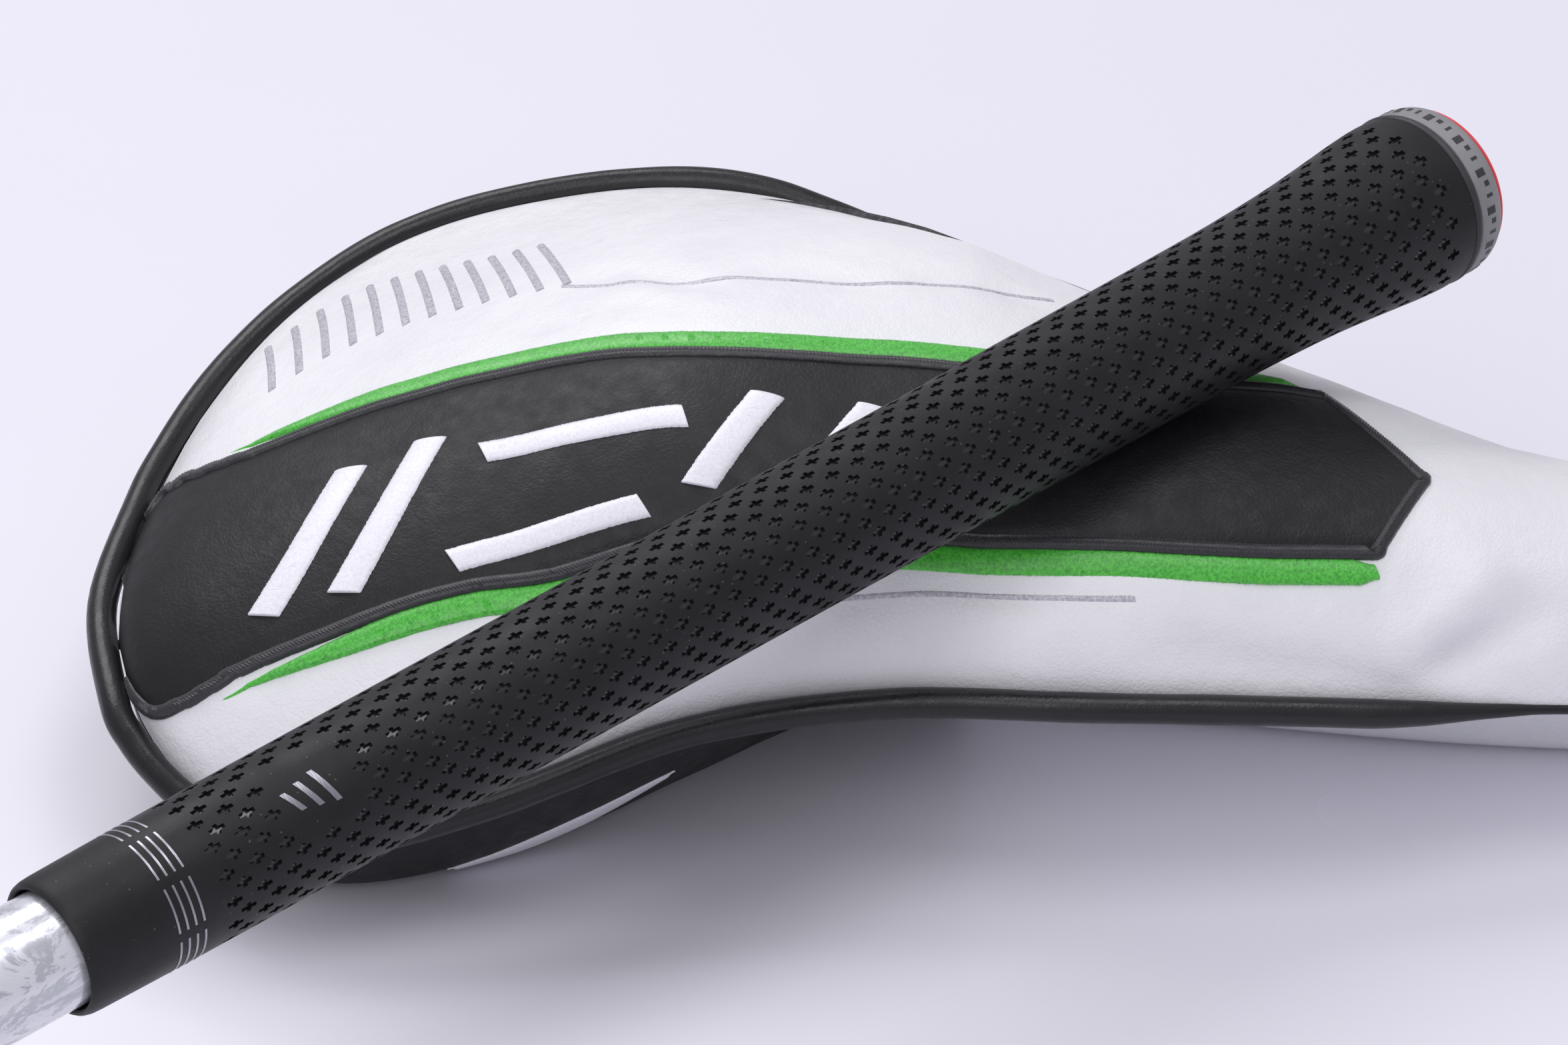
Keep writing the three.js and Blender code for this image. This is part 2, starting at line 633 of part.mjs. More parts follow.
function buildHeadcover() {
  const group = new THREE.Group();
  const end = COVER_LENGTH;
  const piping = pipingSolid();
  const inner = coverSolid(COVER_SKIN, COVER_SKIN, end + 5);
  const skin = coverSolid(0, 0, end).subtract(inner);
  const neckCut = toManifold(box(200, 400, 400, COVER_NECK_START + 100 + COVER_GAP / 2, 0, 0));
  const headCut = toManifold(box(300, 400, 400, COVER_NECK_START - 150 - COVER_GAP / 2, 0, 0));
  const headSkinPart = skin.intersect(headCut);
  const neckTube = skin.intersect(neckCut);
  const crown = headSkinPart.intersect(seamSheet(COVER_GAP / 2));
  const sole = headSkinPart.subtract(seamSheet(-COVER_GAP / 2));
  const liningDepth = COVER_SKIN + 2 * COVER_GAP;
  const room = inner.translate([2 * COVER_GAP, 0, 0]);
  const liningOut = coverSolid(liningDepth, liningDepth, end - 3).intersect(room);
  const liningIn = coverSolid(liningDepth + COVER_LINING, liningDepth + COVER_LINING, end + 5);
  group.add(node('cover_crown_panel', fromManifold(crown.subtract(piping)), FINISHES.whiteLeather()));
  group.add(node('cover_sole_panel', fromManifold(sole.subtract(piping)), FINISHES.blackLeather()));
  group.add(node('cover_neck', fromManifold(neckTube), FINISHES.whiteLeather()));
  group.add(node('cover_piping', fromManifold(piping), FINISHES.blackLeather()));
  group.add(node('cover_lining', fromManifold(liningOut.subtract(liningIn)), FINISHES.lining()));
  return group;
}

// ---------------------------------------------------------------- assembly

function buildClub() {
  const club = new THREE.Group();
  const head = buildHead();
  head.matrixAutoUpdate = false;
  head.matrix.copy(shaftInHead).invert();
  club.add(head, buildAdapter(), buildShaft(), buildGrip(), buildHoselScrew());
  club.rotation.order = 'ZYX';
  club.rotation.set(HEAD_ROLL, -SHAFT_TILT, 0);
  return club;
}

function lowestPoint(object) {
  object.updateMatrixWorld(true);
  return new THREE.Box3().setFromObject(object, true).min.z;
}

function buildAll() {
  const all = new THREE.Group();
  const club = buildClub();
  club.position.z = -lowestPoint(club);
  const cover = buildHeadcover();
  const gripMiddle = (CLUB_LENGTH - GRIP_MIDDLE) * Math.cos(SHAFT_TILT);
  cover.rotation.z = COVER_ANGLE;
  cover.position.set(gripMiddle + COVER_TOE_END[0], COVER_TOE_END[1], 0);
  cover.position.z = -lowestPoint(cover);
  all.add(club, cover);
  all.updateMatrixWorld(true);
  const bounds = new THREE.Box3().setFromObject(all, true);
  const middle = bounds.getCenter(new THREE.Vector3());
  all.children.forEach((part) => {
    part.position.x -= middle.x;
    part.position.y -= middle.y;
  });
  return all;
}

export default buildAll();
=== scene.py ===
# Looks of the fairway wood: its grip, shaft, head and soft headcover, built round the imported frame.
import bpy
import json
import math
from mathutils import Matrix, Vector, noise


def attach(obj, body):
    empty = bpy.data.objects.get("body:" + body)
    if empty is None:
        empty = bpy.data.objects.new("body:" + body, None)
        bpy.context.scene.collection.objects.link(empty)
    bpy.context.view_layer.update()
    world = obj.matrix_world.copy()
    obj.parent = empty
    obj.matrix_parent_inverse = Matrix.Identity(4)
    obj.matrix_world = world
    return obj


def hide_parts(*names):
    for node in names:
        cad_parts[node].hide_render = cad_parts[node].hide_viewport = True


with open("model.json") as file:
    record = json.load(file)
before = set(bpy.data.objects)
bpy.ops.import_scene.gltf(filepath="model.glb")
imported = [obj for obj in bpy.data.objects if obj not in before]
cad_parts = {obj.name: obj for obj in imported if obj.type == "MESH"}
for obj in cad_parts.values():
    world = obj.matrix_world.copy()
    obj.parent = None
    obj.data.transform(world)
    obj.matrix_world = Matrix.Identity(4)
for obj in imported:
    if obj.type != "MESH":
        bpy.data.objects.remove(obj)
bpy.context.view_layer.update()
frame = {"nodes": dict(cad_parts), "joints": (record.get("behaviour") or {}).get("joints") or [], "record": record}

MM = 0.001
TAU = 2 * math.pi

# ---------------------------------------------------------------- places, from the frame

JOINTS = {joint["name"]: joint for joint in frame["joints"]}
MOUNTS = {mount["name"]: mount for mount in frame["record"]["mounts"]}

# The club's axis: the hosel screw turns on it, a little above the ground line.
AXIS = Vector(JOINTS["shaft_draw"]["axis"]).normalized()
SCREW_HEIGHT = 10 * MM
CLUB_LENGTH = 1092 * MM
BUTT = Vector(JOINTS["hosel_screw_turn"]["pos_m"]) + AXIS * (CLUB_LENGTH - SCREW_HEIGHT)
AXIS_SIDE = Vector((0, -1, 0))
AXIS_UP = AXIS.cross(AXIS_SIDE).normalized()
if AXIS_UP.z < 0:
    AXIS_UP.negate()
GRIP_MIDDLE = BUTT - AXIS * (140 * MM)
HEAD_UP = -Vector(JOINTS["rear_weight_lift"]["axis"]).normalized()

# The headcover's own frame: x from its closed toe end to its mouth, y across it and z up.
COVER_ACROSS = Vector(JOINTS["headcover_slide"]["axis"]).normalized()
COVER_ALONG = Vector((COVER_ACROSS.y, -COVER_ACROSS.x, 0))
COVER_BASE_POINT = (110 * MM, 5 * MM)
COVER_ORIGIN = (
    Vector(MOUNTS["cover_base"]["pos_m"])
    - COVER_ALONG * COVER_BASE_POINT[0]
    - COVER_ACROSS * COVER_BASE_POINT[1]
)

# ---------------------------------------------------------------- camera and light

CAMERA_DISTANCE = 742 * MM
CAMERA_ELEVATION = math.radians(32)
CAMERA_RISE = 3.4 * MM
CAMERA_LENS = 121.5
SENSOR = 36


def build_camera():
    """Looks across the grip, along the headcover's short side."""
    forward = COVER_ACROSS * math.cos(CAMERA_ELEVATION) - Vector((0, 0, math.sin(CAMERA_ELEVATION)))
    up = COVER_ALONG.cross(forward)
    data = bpy.data.cameras.new("camera")
    data.lens = CAMERA_LENS
    data.sensor_width = SENSOR
    data.clip_start = 0.01
    data.clip_end = 20
    camera = bpy.data.objects.new("camera", data)
    bpy.context.scene.collection.objects.link(camera)
    basis = Matrix((COVER_ALONG, up, -forward)).transposed().to_4x4()
    place = GRIP_MIDDLE + up * CAMERA_RISE - forward * CAMERA_DISTANCE
    camera.matrix_world = Matrix.Translation(place) @ basis
    bpy.context.scene.camera = camera


def area_light(name, place, target, size, power, color):
    data = bpy.data.lights.new(name, "AREA")
    data.shape = "RECTANGLE"
    data.size = size[0]
    data.size_y = size[1]
    data.energy = power
    data.color = color
    light = bpy.data.objects.new(name, data)
    bpy.context.scene.collection.objects.link(light)
    light.location = place
    light.rotation_euler = (target - place).to_track_quat("-Z", "Y").to_euler()


# Each light: across, away and up from its target in metres, size in metres, power in watts and colour.
GRIP_LIGHTS = {
    "key_light": ((-0.55, 0.9, 1.25), (1.0, 0.8), 11, (1, 0.99, 1)),
    "top_light": ((0.3, -0.1, 1.5), (0.9, 0.5), 5.4, (0.98, 0.98, 1)),
    "fill_light": ((-0.5, -1.5, 0.7), (1.4, 1.0), 2.6, (0.97, 0.95, 1)),
}


def build_lights():
    for name, ((right, away, up), size, power, color) in GRIP_LIGHTS.items():
        place = GRIP_MIDDLE + COVER_ALONG * right + COVER_ACROSS * away + Vector((0, 0, up))
        area_light(name, place, GRIP_MIDDLE, size, power, color)
    area_light("head_light", Vector((-0.5, -0.5, 1.2)), Vector((-0.5, 0, 0)), (0.9, 0.9), 6, (1, 0.99, 1))
    world = bpy.data.worlds.new("studio")
    bpy.context.scene.world = world
    world.use_nodes = True
    background = world.node_tree.nodes["Background"]
    background.inputs["Color"].default_value = (0.90, 0.89, 0.97, 1)
    background.inputs["Strength"].default_value = 0.5


# ---------------------------------------------------------------- materials


class Paint:
    """A Principled material with small helpers for its procedural nodes."""

    def __init__(self, name, color, roughness, **uniform):
        self.material = bpy.data.materials.new(name)
        self.material.use_nodes = True
        self.tree = self.material.node_tree
        self.shader = self.tree.nodes["Principled BSDF"]
        self.shader.inputs["Base Color"].default_value = (*color, 1)
        self.shader.inputs["Roughness"].default_value = roughness
        for socket, value in uniform.items():
            self.shader.inputs[socket.replace("_", " ")].default_value = value
        self.where = self.tree.nodes.new("ShaderNodeTexCoord").outputs["Object"]

    def node(self, kind, **inputs):
        made = self.tree.nodes.new(kind)
        for socket, value in inputs.items():
            made.inputs[socket.replace("_", " ")].default_value = value
        return made

    def link(self, output, to):
        self.tree.links.new(output, to)

    def noise(self, scale, detail=3, roughness=0.55):
        made = self.node("ShaderNodeTexNoise", Scale=scale, Detail=detail, Roughness=roughness)
        self.link(self.where, made.inputs["Vector"])
        return made.outputs["Fac"]

    def cells(self, scale, feature="F1"):
        made = self.node("ShaderNodeTexVoronoi", Scale=scale)
        made.feature = feature
        self.link(self.where, made.inputs["Vector"])
        return made.outputs["Distance"]

    def waves(self, scale, direction, distortion=0.0):
        made = self.node("ShaderNodeTexWave", Scale=scale, Distortion=distortion)
        made.bands_direction = direction
        self.link(self.where, made.inputs["Vector"])
        return made.outputs["Fac"]

    def ramp(self, value, stops):
        """Colours at positions, as (position, colour) pairs."""
        made = self.tree.nodes.new("ShaderNodeValToRGB")
        elements = made.color_ramp.elements
        while len(elements) < len(stops):
            elements.new(0.5)
        for element, (position, color) in zip(elements, stops):
            element.position = position
            element.color = (*color, 1)
        self.link(value, made.inputs["Fac"])
        return made.outputs["Color"]

    def span(self, value, low, high, from_low=0.3, from_high=0.7):
        made = self.tree.nodes.new("ShaderNodeMapRange")
        sockets = (("From Min", from_low), ("From Max", from_high), ("To Min", low), ("To Max", high))
        for socket, number in sockets:
            made.inputs[socket].default_value = number
        self.link(value, made.inputs["Value"])
        return made.outputs["Result"]

    def mix(self, share, first, second):
        made = self.tree.nodes.new("ShaderNodeMix")
        made.data_type = "RGBA"
        self.link(share, made.inputs["Factor"])
        for socket, value in (("A", first), ("B", second)):
            target = [s for s in made.inputs if s.name == socket and s.type == "RGBA"][0]
            if isinstance(value, tuple):
                target.default_value = (*value, 1)
            else:
                self.link(value, target)
        return [s for s in made.outputs if s.type == "RGBA"][0]

    def color(self, output):
        self.link(output, self.shader.inputs["Base Color"])

    def rough(self, output):
        self.link(output, self.shader.inputs["Roughness"])

    def bump(self, *layers):
        """Stacks bump layers, each (height, strength, depth in metres)."""
        normal = None
        for height, strength, depth in layers:
            made = self.node("ShaderNodeBump", Strength=strength, Distance=depth)
            self.link(height, made.inputs["Height"])
            if normal is not None:
                self.link(normal, made.inputs["Normal"])
            normal = made.outputs["Normal"]
        self.link(normal, self.shader.inputs["Normal"])


def rubber(name, dark, light, roughness):
    paint = Paint(name, dark, roughness, Specular_IOR_Level=0.32)
    tint = paint.ramp(paint.noise(140, 4), [(0.3, dark), (0.75, light)])
    dust = paint.span(paint.cells(620), 1, 0, 0.05, 0.09)
    paint.color(paint.mix(paint.span(dust, 0, 0.22, 0, 1), tint, (0.4, 0.39, 0.42)))
    paint.rough(paint.span(paint.noise(90, 3), roughness - 0.07, roughness + 0.08))
    paint.bump((paint.noise(5200, 2), 0.25, 0.00008), (paint.noise(900, 3), 0.18, 0.0002))
    return paint.material


def leather(name, shade, color, roughness, grain):
    paint = Paint(name, color, roughness, Specular_IOR_Level=0.36)
    paint.color(paint.ramp(paint.noise(38, 4), [(0.3, shade), (0.72, color)]))
    paint.rough(paint.span(paint.noise(300, 3), roughness - 0.06, roughness + 0.08))
    creases = paint.span(paint.cells(1150, "DISTANCE_TO_EDGE"), 0, 1, 0, 0.2)
    paint.bump(
        (paint.noise(48, 3), 0.14, 0.003),
        (creases, grain, 0.00009),
        (paint.noise(420, 3), grain, 0.0005),
    )
    return paint.material


def satin_thread(name, dark, light, roughness):
    paint = Paint(name, light, roughness, Specular_IOR_Level=0.6, Sheen_Weight=0.25)
    fibres = paint.noise(2100, 3, 0.65)
    paint.color(paint.ramp(fibres, [(0.3, dark), (0.62, light)]))
    paint.rough(paint.span(paint.noise(500, 2), roughness - 0.08, roughness + 0.1))
    paint.bump((fibres, 0.35, 0.0002))
    return paint.material


def metal(name, color, shade, roughness, brushed=0.15, coat=0.0):
    paint = Paint(name, color, roughness, Metallic=1.0, Coat_Weight=coat)
    paint.color(paint.ramp(paint.noise(60, 4), [(0.3, shade), (0.7, color)]))
    streaks = paint.waves(700, "X", 6.0)
    paint.rough(paint.span(streaks, roughness - 0.05, roughness + 0.08, 0, 1))
    paint.bump((streaks, brushed, 0.00005), (paint.noise(1800, 2), brushed, 0.00005))
    return paint.material


def shaft_paint():
    """Pearl silver-white with a soft broken pattern under a clear coat."""
    paint = Paint("shaft_paint", (0.74, 0.75, 0.81), 0.3, Metallic=0.35, Coat_Weight=0.8, Coat_Roughness=0.06)
    patches = paint.node("ShaderNodeTexNoise", Scale=170, Detail=5, Roughness=0.7, Distortion=0.5)
    stretch = paint.node("ShaderNodeMapping")
    stretch.inputs["Scale"].default_value = (0.55, 1, 1)
    paint.link(paint.where, stretch.inputs["Vector"])
    paint.link(stretch.outputs["Vector"], patches.inputs["Vector"])
    field = patches.outputs["Fac"]
    paint.color(paint.ramp(field, [
        (0.36, (0.72, 0.735, 0.79)), (0.42, (0.50, 0.515, 0.56)), (0.47, (0.54, 0.555, 0.60)),
        (0.50, (0.74, 0.755, 0.81)), (0.58, (0.76, 0.775, 0.83)), (0.62, (0.46, 0.475, 0.52)),
    ]))
    paint.rough(paint.span(field, 0.22, 0.36))
    paint.bump((paint.noise(2600, 2), 0.05, 0.00005))
    return paint.material


def carbon():
    paint = Paint("crown_weave", (0.02, 0.02, 0.023), 0.2, Coat_Weight=1.0, Coat_Roughness=0.04)
    first = paint.waves(260, "DIAGONAL", 1.0)
    second = paint.waves(300, "Y", 1.0)
    weave = paint.mix(first, (0.014, 0.014, 0.016), (0.03, 0.03, 0.034))
    paint.color(paint.mix(second, weave, (0.02, 0.02, 0.023)))
    paint.rough(paint.span(first, 0.16, 0.3, 0, 1))
    return paint.material


def plain_plastic(name, color, shade, roughness, coat=0.0):
    paint = Paint(name, color, roughness, Coat_Weight=coat)
    paint.color(paint.ramp(paint.noise(110, 4), [(0.3, shade), (0.7, color)]))
    paint.rough(paint.span(paint.noise(220, 3), roughness - 0.05, roughness + 0.07))
    paint.bump((paint.noise(3400, 2), 0.12, 0.00006))
    return paint.material


def fleece():
    paint = Paint("lining_fleece", (0.06, 0.06, 0.066), 0.95, Sheen_Weight=0.6)
    paint.color(paint.ramp(paint.noise(900, 4), [(0.3, (0.03, 0.03, 0.034)), (0.7, (0.09, 0.09, 0.1))]))
    paint.bump((paint.noise(1500, 4), 0.7, 0.0006))
    return paint.material


def floor_paint():
    """Pale lavender-white with a soft sheen."""
    paint = Paint("studio_floor", (0.80, 0.79, 0.86), 0.3, Specular_IOR_Level=0.4)
    paint.color(paint.ramp(paint.noise(3, 3), [(0.3, (0.785, 0.775, 0.85)), (0.7, (0.815, 0.805, 0.875))]))
    paint.rough(paint.span(paint.noise(9, 2), 0.22, 0.3))
    return paint.material


MATERIALS = {
    "rubber": rubber("grip_rubber", (0.007, 0.0068, 0.008), (0.013, 0.0127, 0.015), 0.5),
    "smooth_rubber": plain_plastic("smooth_rubber", (0.02, 0.019, 0.022), (0.014, 0.014, 0.016), 0.2, 0.4),
    "cap_grey": rubber("cap_grey", (0.22, 0.22, 0.23), (0.29, 0.29, 0.3), 0.55),
    "cap_dark": rubber("cap_dark", (0.035, 0.034, 0.038), (0.055, 0.054, 0.06), 0.5),
    "cap_red": plain_plastic("cap_red", (0.80, 0.055, 0.06), (0.70, 0.035, 0.04), 0.42),
    "silver_paint": metal("silver_paint", (0.46, 0.45, 0.50), (0.3, 0.29, 0.33), 0.36, 0.1),
    "white_leather": leather("white_leather", (0.78, 0.78, 0.81), (0.86, 0.86, 0.885), 0.36, 0.34),
    "black_leather": leather("black_leather", (0.007, 0.007, 0.0085), (0.012, 0.0118, 0.0135), 0.5, 0.26),
    "piping": leather("piping_black", (0.011, 0.011, 0.013), (0.017, 0.017, 0.019), 0.3, 0.12),
    "green_thread": satin_thread("green_thread", (0.025, 0.27, 0.02), (0.09, 0.58, 0.05), 0.34),
    "black_thread": satin_thread("black_thread", (0.006, 0.006, 0.009), (0.017, 0.017, 0.024), 0.42),
    "white_thread": satin_thread("white_thread", (0.78, 0.77, 0.84), (0.9, 0.89, 0.95), 0.4),
    "silver_thread": satin_thread("silver_thread", (0.3, 0.3, 0.34), (0.62, 0.61, 0.67), 0.3),
    "fleece": fleece(),
    "shaft": shaft_paint(),
    "tape": plain_plastic("paper_tape", (0.78, 0.74, 0.62), (0.7, 0.66, 0.54), 0.8),
    "black_plastic": plain_plastic("black_plastic", (0.014, 0.014, 0.016), (0.009, 0.009, 0.01), 0.22, 0.6),
    "aluminium": metal("aluminium", (0.62, 0.63, 0.66), (0.5, 0.51, 0.53), 0.3),
    "black_alloy": metal("black_alloy", (0.055, 0.056, 0.062), (0.035, 0.035, 0.04), 0.32),
    "head_steel": metal("head_steel", (0.075, 0.078, 0.088), (0.05, 0.052, 0.058), 0.34, 0.2, 0.3),
    "face_steel": metal("face_steel", (0.42, 0.42, 0.44), (0.3, 0.3, 0.32), 0.33, 0.3),
    "weight_metal": metal("weight_metal", (0.4, 0.4, 0.41), (0.27, 0.27, 0.28), 0.38),
    "carbon": carbon(),
}

# ---------------------------------------------------------------- mesh helpers


def add_piece(name, points, faces, material, body, replaces=(), sharp=math.radians(40)):
    mesh = bpy.data.meshes.new(name)
    mesh.from_pydata([tuple(p) for p in points], [], faces)
    mesh.validate()
    mesh.polygons.foreach_set("use_smooth", [True] * len(mesh.polygons))
    if sharp is not None:
        mesh.set_sharp_from_angle(angle=sharp)
    mesh.materials.append(MATERIALS[material])
    piece = bpy.data.objects.new(name, mesh)
    bpy.context.scene.collection.objects.link(piece)
    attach(piece, body)
    if replaces:
        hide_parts(*replaces)
    return piece


def grid_faces(rows, columns, closed_rows=False, closed_columns=False):
    faces = []
    for i in range(rows if closed_rows else rows - 1):
        for j in range(columns if closed_columns else columns - 1):
            k, m = (i + 1) % rows, (j + 1) % columns
            faces.append((i * columns + j, i * columns + m, k * columns + m, k * columns + j))
    return faces


def between(table, x):
    """Value at x on a smooth line through (x, value) points."""
    last = len(table) - 1
    x = min(max(x, table[0][0]), table[last][0])
    i = 0
    while i < last - 1 and table[i + 1][0] < x:
        i += 1

    def slope(k):
        (x0, y0), (x1, y1) = table[max(0, k - 1)], table[min(last, k + 1)]
        return (y1 - y0) / (x1 - x0)

    (x0, y0), (x1, y1) = table[i], table[i + 1]
    span = x1 - x0
    t = (x - x0) / span
    return (
        (2 * t**3 - 3 * t**2 + 1) * y0 + (t**3 - 2 * t**2 + t) * span * slope(i)
        + (3 * t**2 - 2 * t**3) * y1 + (t**3 - t**2) * span * slope(i + 1)
    )


def smooth_step(value, low, high):
    t = min(max((value - low) / (high - low), 0), 1)
    return t * t * (3 - 2 * t)


# ---------------------------------------------------------------- grip

# (distance from the butt, radius), in millimetres.
GRIP_PROFILE = [
    (9.8, 13.9), (12, 13.95), (16.4, 13.7), (24.4, 12.94), (32.3, 12.25), (40, 11.81), (52, 11.42),
    (90, 11.0), (128, 10.68), (181, 10.34), (235, 10.04), (255, 9.86), (264.5, 9.68),
]
GRIP_END = 267
GRIP_BORE = 8.55
GRIP_ROWS = 32
RECESS_PITCH = 4.85
RECESS_SHIFT = 0.42
RECESS_LONG, RECESS_ARM = 1.2, 0.34
RECESS_SHORT_SHARE, RECESS_ARM_SHARE = 0.37, 0.155
RECESS_DEPTH = 0.55
RECESS_FROM, RECESS_TO = 13.5, 246
MARK_AT = 228
MARK_ANGLE = math.radians(38)
MARK_BARS, MARK_PITCH = 3, 2.6
MARK_WIDTH, MARK_SLANT = 0.9, 1.6
MARK_CLEAR, MARK_CLEAR_ANGLE = 5.5, math.radians(33)
RING_PLACES = (249.6, 250.9, 252.2, 253.5)
RING_HALF = 0.16
RING_DASHES = 8
RING_DASH, RING_GAP = math.radians(37), math.radians(8)
TURNED_SEGMENTS = 96
# Small plain marks round the grey band: (width in degrees, distance of the tall edge from the butt).
CAP_MARKS = 26
CAP_MARK_FROM, CAP_MARK_PITCH = math.radians(-60), math.radians(8.5)
CAP_MARK_SHAPES = [(2.2, 6.4), (5.0, 6.9), (3.4, 6.1)]
CAP_MARK_FOOT = 5.2


def on_axis(from_butt, angle, radius):
    """A point round the club's axis, with angle 0 on top and growing towards the front."""
    spoke = AXIS_UP * math.cos(angle) + AXIS_SIDE * math.sin(angle)
    return BUTT - AXIS * (from_butt * MM) + spoke * (radius * MM)


def turned_piece(name, profile, material, replaces=()):
    """A closed outline of (distance from the butt, radius) points, turned about the club's axis."""
    points = []
    for from_butt, radius in profile:
        points += [on_axis(from_butt, j / TURNED_SEGMENTS * TAU, radius) for j in range(TURNED_SEGMENTS)]
    faces = grid_faces(len(profile), TURNED_SEGMENTS, closed_rows=True, closed_columns=True)
    add_piece(name, points, faces, material, "shaft_assembly", replaces)


def rounded(profile, radius, steps=4):
    """The outline with each corner rounded over up to this radius."""
    made = []
    for i, corner in enumerate(profile):
        here = Vector(corner)
        before, after = Vector(profile[i - 1]), Vector(profile[(i + 1) % len(profile)])
        reach = min(radius, (before - here).length * 0.45, (after - here).length * 0.45)
        start = here + (before - here).normalized() * reach
        end = here + (after - here).normalized() * reach
        for k in range(steps + 1):
            t = k / steps
            made.append(tuple(start * (1 - t) ** 2 + here * (2 * t * (1 - t)) + end * t**2))
    return made


def recess_lines():
    """Every distance from the butt where an arm of a recess starts or ends, in even and odd rows."""
    lines = {RECESS_FROM - 1.6, RECESS_TO + 1.6}
    for shift in (0, RECESS_SHIFT * RECESS_PITCH):
        centre = RECESS_FROM + RECESS_LONG + shift
        while centre + RECESS_LONG < RECESS_TO:
            for arm in (-RECESS_LONG, -RECESS_ARM, RECESS_ARM, RECESS_LONG):
                lines.add(round(centre + arm, 3))
            centre += RECESS_PITCH
    return sorted(lines)


def in_recess(from_butt, row, share):
    """Whether a place in a row of the grip falls in one of its plus-shaped recesses."""
    shift = (row % 2) * RECESS_SHIFT * RECESS_PITCH
    first = RECESS_FROM + RECESS_LONG + shift
    count = round((from_butt - first) / RECESS_PITCH)
    centre = first + count * RECESS_PITCH
    if count < 0 or centre + RECESS_LONG >= RECESS_TO:
        return False
    angle = (row + 0.5) / GRIP_ROWS * TAU
    off_mark = abs((angle - MARK_ANGLE + math.pi) % TAU - math.pi)
    if abs(centre - MARK_AT) < MARK_CLEAR and off_mark < MARK_CLEAR_ANGLE:
        return False
    along = abs(from_butt - centre)
    side = abs(share)
    return (along < RECESS_LONG and side < RECESS_ARM_SHARE) or (
        along < RECESS_ARM and side < RECESS_SHORT_SHARE
    )


def build_grip():
    lip = [(265.8, 9.6), (266.6, 9.4), (GRIP_END, 9.1), (GRIP_END, 8.8), (266.7, GRIP_BORE)]
    front = [(9.8, 13.55), (9.8, 13.8)]
    stops = [s for s, _ in GRIP_PROFILE if s < RECESS_FROM - 1.7]
    stops += recess_lines()
    stops += [RECESS_TO + 3, RECESS_TO + 6, RECESS_TO + 10, 260, 264.5]
    outside = [(s, between(GRIP_PROFILE, s)) for s in stops]
    rings = front + outside + lip + [(9.8, GRIP_BORE)]
    first_outside = len(front)
    shares = (-0.5, -RECESS_SHORT_SHARE, -RECESS_ARM_SHARE, RECESS_ARM_SHARE, RECESS_SHORT_SHARE)
    angles = [(row + 0.5 + share, row) for row in range(GRIP_ROWS) for share in shares]
    columns = len(angles)

    def sunk(i, j):
        i %= len(rings)
        k = i - first_outside
        if k < 0 or k + 1 >= len(outside):
            return False
        turn, row = angles[j % columns]
        step = angles[(j + 1) % columns][0] if (j + 1) % columns else GRIP_ROWS
        middle = (turn + step) / 2 - row - 0.5
        return in_recess((outside[k][0] + outside[k + 1][0]) / 2, row, middle)

    points, places = [], {}

    def corner(i, j, low):
        key = (i % len(rings), j % columns, low)
        if key not in places:
            from_butt, radius = rings[key[0]]
            angle = angles[key[1]][0] / GRIP_ROWS * TAU
            places[key] = len(points)
            points.append(on_axis(from_butt, angle, radius - (RECESS_DEPTH if low else 0)))
        return places[key]

    faces, floors = [], []
    for i in range(len(rings)):
        for j in range(columns):
            low = sunk(i, j)
            if low:
                floors.append(len(faces))
            around = ((i, j), (i, j + 1), (i + 1, j + 1), (i + 1, j))
            faces.append(tuple(corner(a, b, low) for a, b in around))
            if not low:
                continue
            sides = (((i, j), (i + 1, j), sunk(i, j - 1)), ((i, j + 1), (i + 1, j + 1), sunk(i, j + 1)),
                     ((i, j), (i, j + 1), sunk(i - 1, j)), ((i + 1, j), (i + 1, j + 1), sunk(i + 1, j)))
            for first, second, next_low in sides:
                if not next_low:
                    faces.append((corner(*first, True), corner(*second, True), corner(*second, False),
                                  corner(*first, False)))
    grip = add_piece("grip_body", points, faces, "rubber", "shaft_assembly", ["grip_sleeve"],
                     math.radians(30))
    grip.data.materials.append(MATERIALS["smooth_rubber"])
    for k in floors:
        grip.data.polygons[k].material_index = 1


def axis_patch(outline, lift, thickness, steps=10):
    """Points and faces of a thin strip on the grip: outline gives (from butt, angle) pairs, edge by edge."""
    points, faces = [], []
    for (s0, a0), (s1, a1), (s2, a2), (s3, a3) in outline:
        base = len(points)
        for i in range(steps + 1):
            t = i / steps
            edges = ((s0 + (s1 - s0) * t, a0 + (a1 - a0) * t), (s3 + (s2 - s3) * t, a3 + (a2 - a3) * t))
            for height in (lift, lift - thickness):
                for s, angle in edges:
                    points.append(on_axis(s, angle, between(GRIP_PROFILE, s) + height))
        for i in range(steps):
            a = base + 4 * i
            b = a + 4
            faces += [(a, a + 1, b + 1, b), (a + 2, b + 2, b + 3, a + 3), (a, b, b + 2, a + 2),
                      (a + 1, a + 3, b + 3, b + 1)]
        end = base + 4 * steps
        faces += [(base, base + 2, base + 3, base + 1), (end, end + 1, end + 3, end + 2)]
    return points, faces


